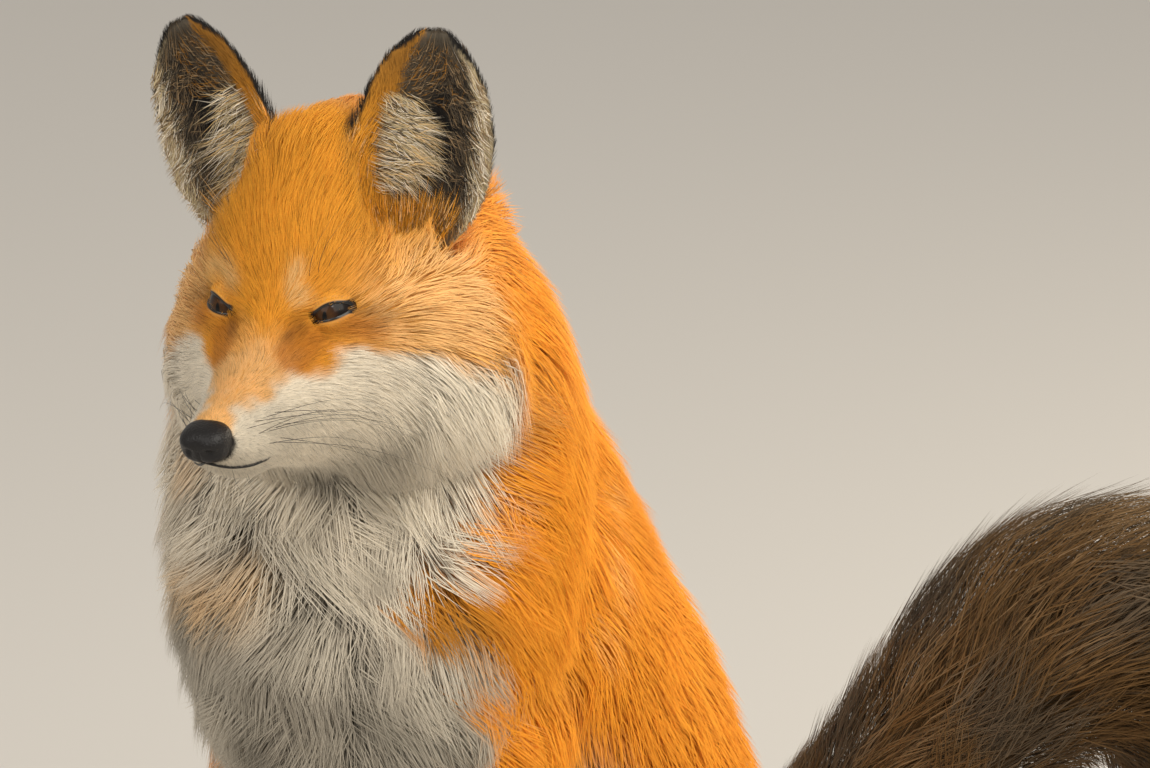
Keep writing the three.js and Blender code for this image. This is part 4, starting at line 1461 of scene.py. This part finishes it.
# %% Lid rings
LID_REACH = 0.62  # radians from the edge of the slit to where the lid goes under
LID_SHARES = [0, 0.02, 0.05, 0.10, 0.3, 0.55, 0.8, 1.0]
LID_HEIGHTS = [0.10, 0.35, 0.5, 0.65, 1.05, 1.15, 0.8, -0.4]


def lid_places(s, turn):
    """Places on the left lids, in the head's frame: at the angle turn round the almond, grown outwards
    by a share s of the reach. The almond's ends are pointed, its inner one droops, and the distance
    from the ball's middle gives the edge, the fold and the dive."""
    c, d = np.cos(turn), np.sin(turn)
    tall = np.where(d > 0, SLIT_UPPER, SLIT_LOWER)
    a = SLIT_HALF * c
    b = tall * d * np.abs(d) ** 0.45 - 0.10 * ((1 - c) / 2) ** 3
    away = unit(np.stack([c / SLIT_HALF, d / tall], -1))
    a = a + away[..., 0] * s * LID_REACH
    b = b + away[..., 1] * s * LID_REACH
    fold = -0.45 * np.exp(-((s - 0.40) / 0.10) ** 2) * np.clip(d, 0, 1)
    height = np.interp(s, LID_SHARES, LID_HEIGHTS) + fold
    flat = np.maximum(np.hypot(a, b), 1e-9)
    ray = (EYE_LOOK * np.cos(flat)[..., None]
           + (EYE_SLIT * (a / flat)[..., None] + EYE_UP * (b / flat)[..., None]) * np.sin(flat)[..., None])
    return EYE_CENTRE + ray * (EYE_RADIUS + height)[..., None]


def lid_black(s, turn):
    """1 on the black edge of the lids, which is narrow along them and long at both corners."""
    c = np.cos(turn)
    wide = 0.15 + 0.85 * np.maximum(-c, 0) ** 8 + 0.80 * np.maximum(c, 0) ** 8
    return 1 - smooth_step(s, wide, wide + 0.07)


def lid_rings(side):
    """Rings of lid places from the slit outwards, the first one tucked in against the ball."""
    s = np.concatenate([[0.0, 0.0, 0.02, 0.05, 0.09], np.linspace(0.14, 1, 20)])[:, None]
    turn = (2 * np.pi * np.arange(96) / 96)[None]
    s, turn = s + 0 * turn, turn + 0 * s
    place = lid_places(s, turn)
    place[0] = EYE_CENTRE + (place[0] - EYE_CENTRE) * (1 - 0.4 / EYE_RADIUS)
    return place * [side, 1, 1], s, turn


def lid_material():
    """The lids' skin: the attribute tip_colour, moist and dark where the attribute lock is high."""
    material, shader, node, join = new_material("lid")
    colour = node("ShaderNodeAttribute", attribute_name="tip_colour")
    join(colour.outputs["Color"], shader.inputs["Base Color"])
    lock = node("ShaderNodeAttribute", attribute_name="lock")
    moist = node("ShaderNodeMapRange", {"To Min": 0.6, "To Max": 0.25})
    join(lock.outputs["Fac"], moist.inputs["Value"])
    join(moist.outputs["Result"], shader.inputs["Roughness"])
    return material


LID_FINISH = lid_material()


def lid_paint(places, black):
    """The face's colours on the lids at tip and root, going to black by a share."""
    parts = {part: np.full(len(places), float(part == "head")) for part in PARTS}
    paint, root, _ = coat_colours(places, parts, np.tile([0.0, -1, 0], (len(places), 1)))
    black = black[:, None]
    return paint + (np.array(PAINT["black"]) * 0.7 - paint) * black, root * (1 - 0.8 * black)


for side, label in SIDES:
    ring, s, turn = lid_rings(side)
    verts = from_head(ring.reshape(-1, 3))
    faces = wall_faces(ring.shape[0], ring.shape[1])
    lids = mesh_object(f"lids_{label}", verts, faces if side > 0 else faces[:, ::-1], LID_FINISH)
    black = lid_black(s, turn).ravel()
    paint, _ = lid_paint(verts, black)
    put_attribute(lids.data, "tip_colour", "POINT", paint * 0.8)
    put_attribute(lids.data, "lock", "POINT", np.repeat(black[:, None], 3, 1))
    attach(lids, "root")
print("lids:", len(verts), "points each")

# %% [markdown]
# ## Short fur on the lids
#
# The finest hair on the whole animal grows on its lids, right up to their black edge. It turns outwards
# from the slit at once and then lies back with the rest of the face. At the edge itself it is black,
# which breaks the hard line.

# %% Lid fur
LID_LOCKS = 1700
near_lids = np.flatnonzero(near_eye)


def lid_fur(side, label):
    """Short locks from random places on the lids, leaning outwards from the slit and back. They are
    shorter and flatter on the lids' black edge."""
    s, turn = rng.uniform(0.10, 1.0, LID_LOCKS) ** 0.9, rng.uniform(0, 2 * np.pi, LID_LOCKS)
    start = lid_places(s, turn)
    out = unit(start - EYE_CENTRE)
    outward = unit(lid_places(s + 0.05, turn) - start)
    lying = unit(head_lie(start))
    way = unit(outward * (0.9 - 0.6 * s)[:, None] + lying * (0.5 + 0.5 * s)[:, None]
               + rng.normal(0, 0.10, start.shape))
    way = unit(way - out * (way * out).sum(1, keepdims=True))
    dark = lid_black(s, turn)
    length = rng.uniform(1.8, 3.2, LID_LOCKS) * (0.75 + 0.6 * s) * (1 - 0.75 * dark)
    lift = (0.15 + 0.16 * length) * (1 - 0.7 * dark)
    tip = start + way * length[:, None] + out * lift[:, None]
    start, tip = from_head((start - out * 0.15) * [side, 1, 1]), from_head(tip * [side, 1, 1])
    facing = unit(out * [side, 1, 1] @ HEAD_AXES.T)
    ring = widest(start, unit(tip - start), facing, 0.15 * MM * rng.uniform(0.7, 1.2, LID_LOCKS))
    paint, root = lid_paint(tip, lid_black(s + 0.02, turn))
    place = skin_uv_of_vertex[near_lids[nearest(start, points[near_lids])]]
    sew_locks(f"lid_fur_{label}", "coat_orange", ring, tip, None, place, paint, root,
              rng.random(LID_LOCKS), facing)


for side, label in SIDES:
    lid_fur(side, label)

# %% [markdown]
# ## Nose
#
# The nose pad is a rounded block with two comma-shaped nostrils and a groove down its middle. It is a
# sphere stretched to the pad's size, dented by bell curves. Its skin is black, moist and pebbled.

# %% Nose pad
NOSE_TILT = np.radians(-14)
# Dents: x, y, z in the pad's own frame, reach, depth.
NOSTRILS = [[4.4, 6.6, -0.4, 1.7, 2.4], [6.6, 5.2, -1.2, 1.3, 1.7], [8.4, 3.0, -1.6, 1.1, 0.9]]


def nose_rings():
    """Rings round the x axis, squared off a little, then dented: each dent pulls a point towards the
    middle by a bell curve of its distance."""
    t = np.linspace(0.02, np.pi - 0.02, 90)[:, None]
    turn = (2 * np.pi * np.arange(110) / 110)[None]
    ray = np.stack([np.cos(t) + 0 * turn, np.sin(t) * np.cos(turn), np.sin(t) * np.sin(turn)], 2)
    square = (np.abs(ray) ** 2.6).sum(2, keepdims=True) ** (-1 / 2.6)
    place = ray * square * NOSE_SIZE
    inward = -unit(place * [0.35, 1, 0.6])
    dent = 0
    for x, y, z, reach, depth in NOSTRILS:
        away = (np.abs(place[..., 0]) - x) ** 2 + (place[..., 1] - y) ** 2 + (place[..., 2] - z) ** 2
        dent = dent + depth * np.exp(-away / reach ** 2)
    front = smooth_step(place[..., 1], 2, 6) * smooth_step(-place[..., 2], -1.5, 1.0)
    dent = np.minimum(dent, 2.6) + 0.6 * np.exp(-(place[..., 0] / 0.7) ** 2) * front
    wing = (0.7 * np.exp(-((np.abs(place[..., 0]) - 5.0) / 2.6) ** 2)
            * np.exp(-((place[..., 2] - 2.6) / 2.0) ** 2))
    place = place + inward * (dent - wing * smooth_step(place[..., 1], 0, 6))[..., None]
    return place @ turned(0, NOSE_TILT).T + NOSE_AT


def nose_material():
    """Black moist skin with fine pebbles: a cell pattern a millimetre across lifts the surface."""
    material, shader, node, join = new_material("nose_skin", **{
        "Base Color": (0.008, 0.007, 0.007, 1), "Roughness": 0.40, "Specular IOR Level": 0.3})
    place = node("ShaderNodeTexCoord")
    cells = node("ShaderNodeTexVoronoi", {"Scale": 1300.0}, feature="SMOOTH_F1")
    join(place.outputs["Object"], cells.inputs["Vector"])
    bump = node("ShaderNodeBump", {"Strength": 0.7, "Distance": 0.0003}, invert=True)
    join(cells.outputs["Distance"], bump.inputs["Height"])
    join(bump.outputs["Normal"], shader.inputs["Normal"])
    return material


NOSE_FINISH = nose_material()
verts, faces = closed(from_head(nose_rings()))
nose_pad = mesh_object("nose_pad", verts, faces, NOSE_FINISH)
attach(nose_pad, "root")
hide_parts("nose")
print("nose pad:", len(verts), "points")

# %% [markdown]
# ## Lips and whiskers
#
# The mouth is shut. A thin dark roll of lip shows between the fur of the upper and the lower jaw, from
# under the nose to the corner of the mouth. Whiskers are long tapering bristles in rows on the muzzle,
# with a few over each eye and under the chin. Both are a round profile carried along a curve.

# %% Tubes along curves
def tube(path, radius, sides):
    """A closed tube: circles of the given radii round the points of a path, square to it."""
    tangent = unit(np.gradient(path, axis=0))
    x = unit(np.cross(tangent, [0.31, 0.2, 0.93]))
    y = np.cross(tangent, x)
    turn = 2 * np.pi * np.arange(sides) / sides
    ring = path[:, None] + radius[:, None, None] * (x[:, None] * np.cos(turn)[:, None]
                                                    + y[:, None] * np.sin(turn)[:, None])
    return closed(ring)


LIP = [[0, 64.5, -42.8], [3, 62, -44.6], [6.2, 57.8, -46.8], [9.7, 54.6, -47.6], [12.6, 51, -48.0],
       [14.4, 47, -48.0], [15.2, 42.5, -48.2], [15.4, 39, -47.6]]
t = np.linspace(0, 1, 60)
for side, label in SIDES:
    path = along(LIP, t) * [side, 1, 1]
    thick = np.interp(t, [0, 0.1, 0.8, 1], [0.45, 0.6, 0.55, 0.2])
    verts, faces = tube(path, thick, 10)
    lip = mesh_object(f"lip_{label}", from_head(verts), faces, NOSE_FINISH)
    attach(lip, "root")

# %% Whiskers
WHISKER_ROOTS = [[13, 50, -33], [14, 45, -32], [15.5, 40, -32], [16.5, 34, -32.5], [13.5, 49, -37],
                 [15.5, 44, -37], [17, 39, -37], [18.5, 33, -37.5], [14.5, 46, -41.5], [16.5, 41, -42],
                 [18, 36, -42]]
BROW_ROOTS = [[17, -2, 12], [20, -4, 13], [23, -7, 13]]
CHIN_ROOTS = [[5, 53, -52], [8, 47, -55], [4, 42, -57]]
WHISKER_FINISH = plain_material("whisker", (0.02, 0.017, 0.015), 0.4)


def whiskers(name, roots_at, start, sweep, sag, length, thickness):
    """Bristles from each root on both sides: a straight start, a bend that grows with the square of
    the distance along it, and a sag that grows with the cube."""
    verts, faces, count = [], [], 0
    t = np.linspace(0, 1, 22)[:, None]
    for side, _ in SIDES:
        for root in roots_at:
            long = length * rng.uniform(0.62, 1.0)
            way = unit(np.array(start) + rng.normal(0, 0.10, 3))
            bend = np.array(sweep) * rng.uniform(0.7, 1.2) + rng.normal(0, 0.06, 3)
            path = np.array(root) - way * 2 + long * (way * t + bend * t ** 2 + np.array(sag) * t ** 3)
            p, f = tube(from_head(path * [side, 1, 1]), thickness * MM * (1 - t[:, 0] * 0.86), 5)
            verts.append(p)
            faces.append(f + count)
            count += len(p)
    piece = mesh_object(name, np.concatenate(verts), np.concatenate(faces), WHISKER_FINISH)
    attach(piece, "root")
    print(f"{name}: {len(roots_at)} on each side, up to {length} mm long")


whiskers("whiskers", WHISKER_ROOTS, (0.66, -0.50, 0.06), (-0.08, -0.34, -0.02), (-0.04, -0.04, -0.36),
         62, 0.13)
whiskers("brow_whiskers", BROW_ROOTS, (0.25, 0.25, 0.9), (0.3, -0.5, -0.1), (0.0, -0.1, 0.0), 30, 0.11)
whiskers("chin_whiskers", CHIN_ROOTS, (0.2, 0.3, -0.9), (0.1, -0.4, 0), (0, 0, 0), 13, 0.09)

# %% [markdown]
# ## Claws
#
# Each toe ends in a dark curved claw. It is an ellipse carried along three stations, as the body is,
# and sits where the model has its plain one.

# %% Claws
CLAW_LENGTH, CLAW_RADIUS = 15, 2.2
# Stations: share of the toe's offset, y from its end, z, half width, above, below, no coat.
CLAW = [
    [1, CLAW_LENGTH * 0.5, 9, CLAW_RADIUS, CLAW_RADIUS, CLAW_RADIUS, 0],
    [1, 0, 9.3, CLAW_RADIUS * 0.9, CLAW_RADIUS, CLAW_RADIUS, 0],
    [1.03, -CLAW_LENGTH * 0.5, 3.6, 0.45, 0.5, 0.5, 0],
]
claw_verts, claw_faces, claw_names, count = [], [], [], 0
for side, label in SIDES:
    for foot, end, shift in zip(("front", "hind"), PAW_TIPS, STEP[side]):
        for toe, rows in enumerate(toe_rows(end, CLAW)):
            ring, _, _ = body_form(rows, 12, 12, side, shift)
            p, f = closed(ring * MM)
            claw_verts.append(p)
            claw_faces.append(f + count)
            count += len(p)
            claw_names.append(f"claw_{foot}_{label}_{toe + 1}")
claws = mesh_object("claws", np.concatenate(claw_verts), np.concatenate(claw_faces),
                    plain_material("claw", (0.035, 0.028, 0.024), 0.35))
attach(claws, "root")
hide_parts(*claw_names)
print("claws:", len(claw_names))

# %% [markdown]
# ## The skin takes its place
#
# The skin with its coat stands for all the flesh of the model, whose own solids are hidden.

# %% Finish
for name in ("trunk", "neck", "head", "ear_left", "ear_right", "leg_front_left", "leg_front_right",
             "paw_front_left", "paw_front_right", "thigh_left", "thigh_right", "foot_hind_left",
             "foot_hind_right", "tail_base", "tail_middle", "tail_tip"):
    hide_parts(name)
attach(skin, "root")
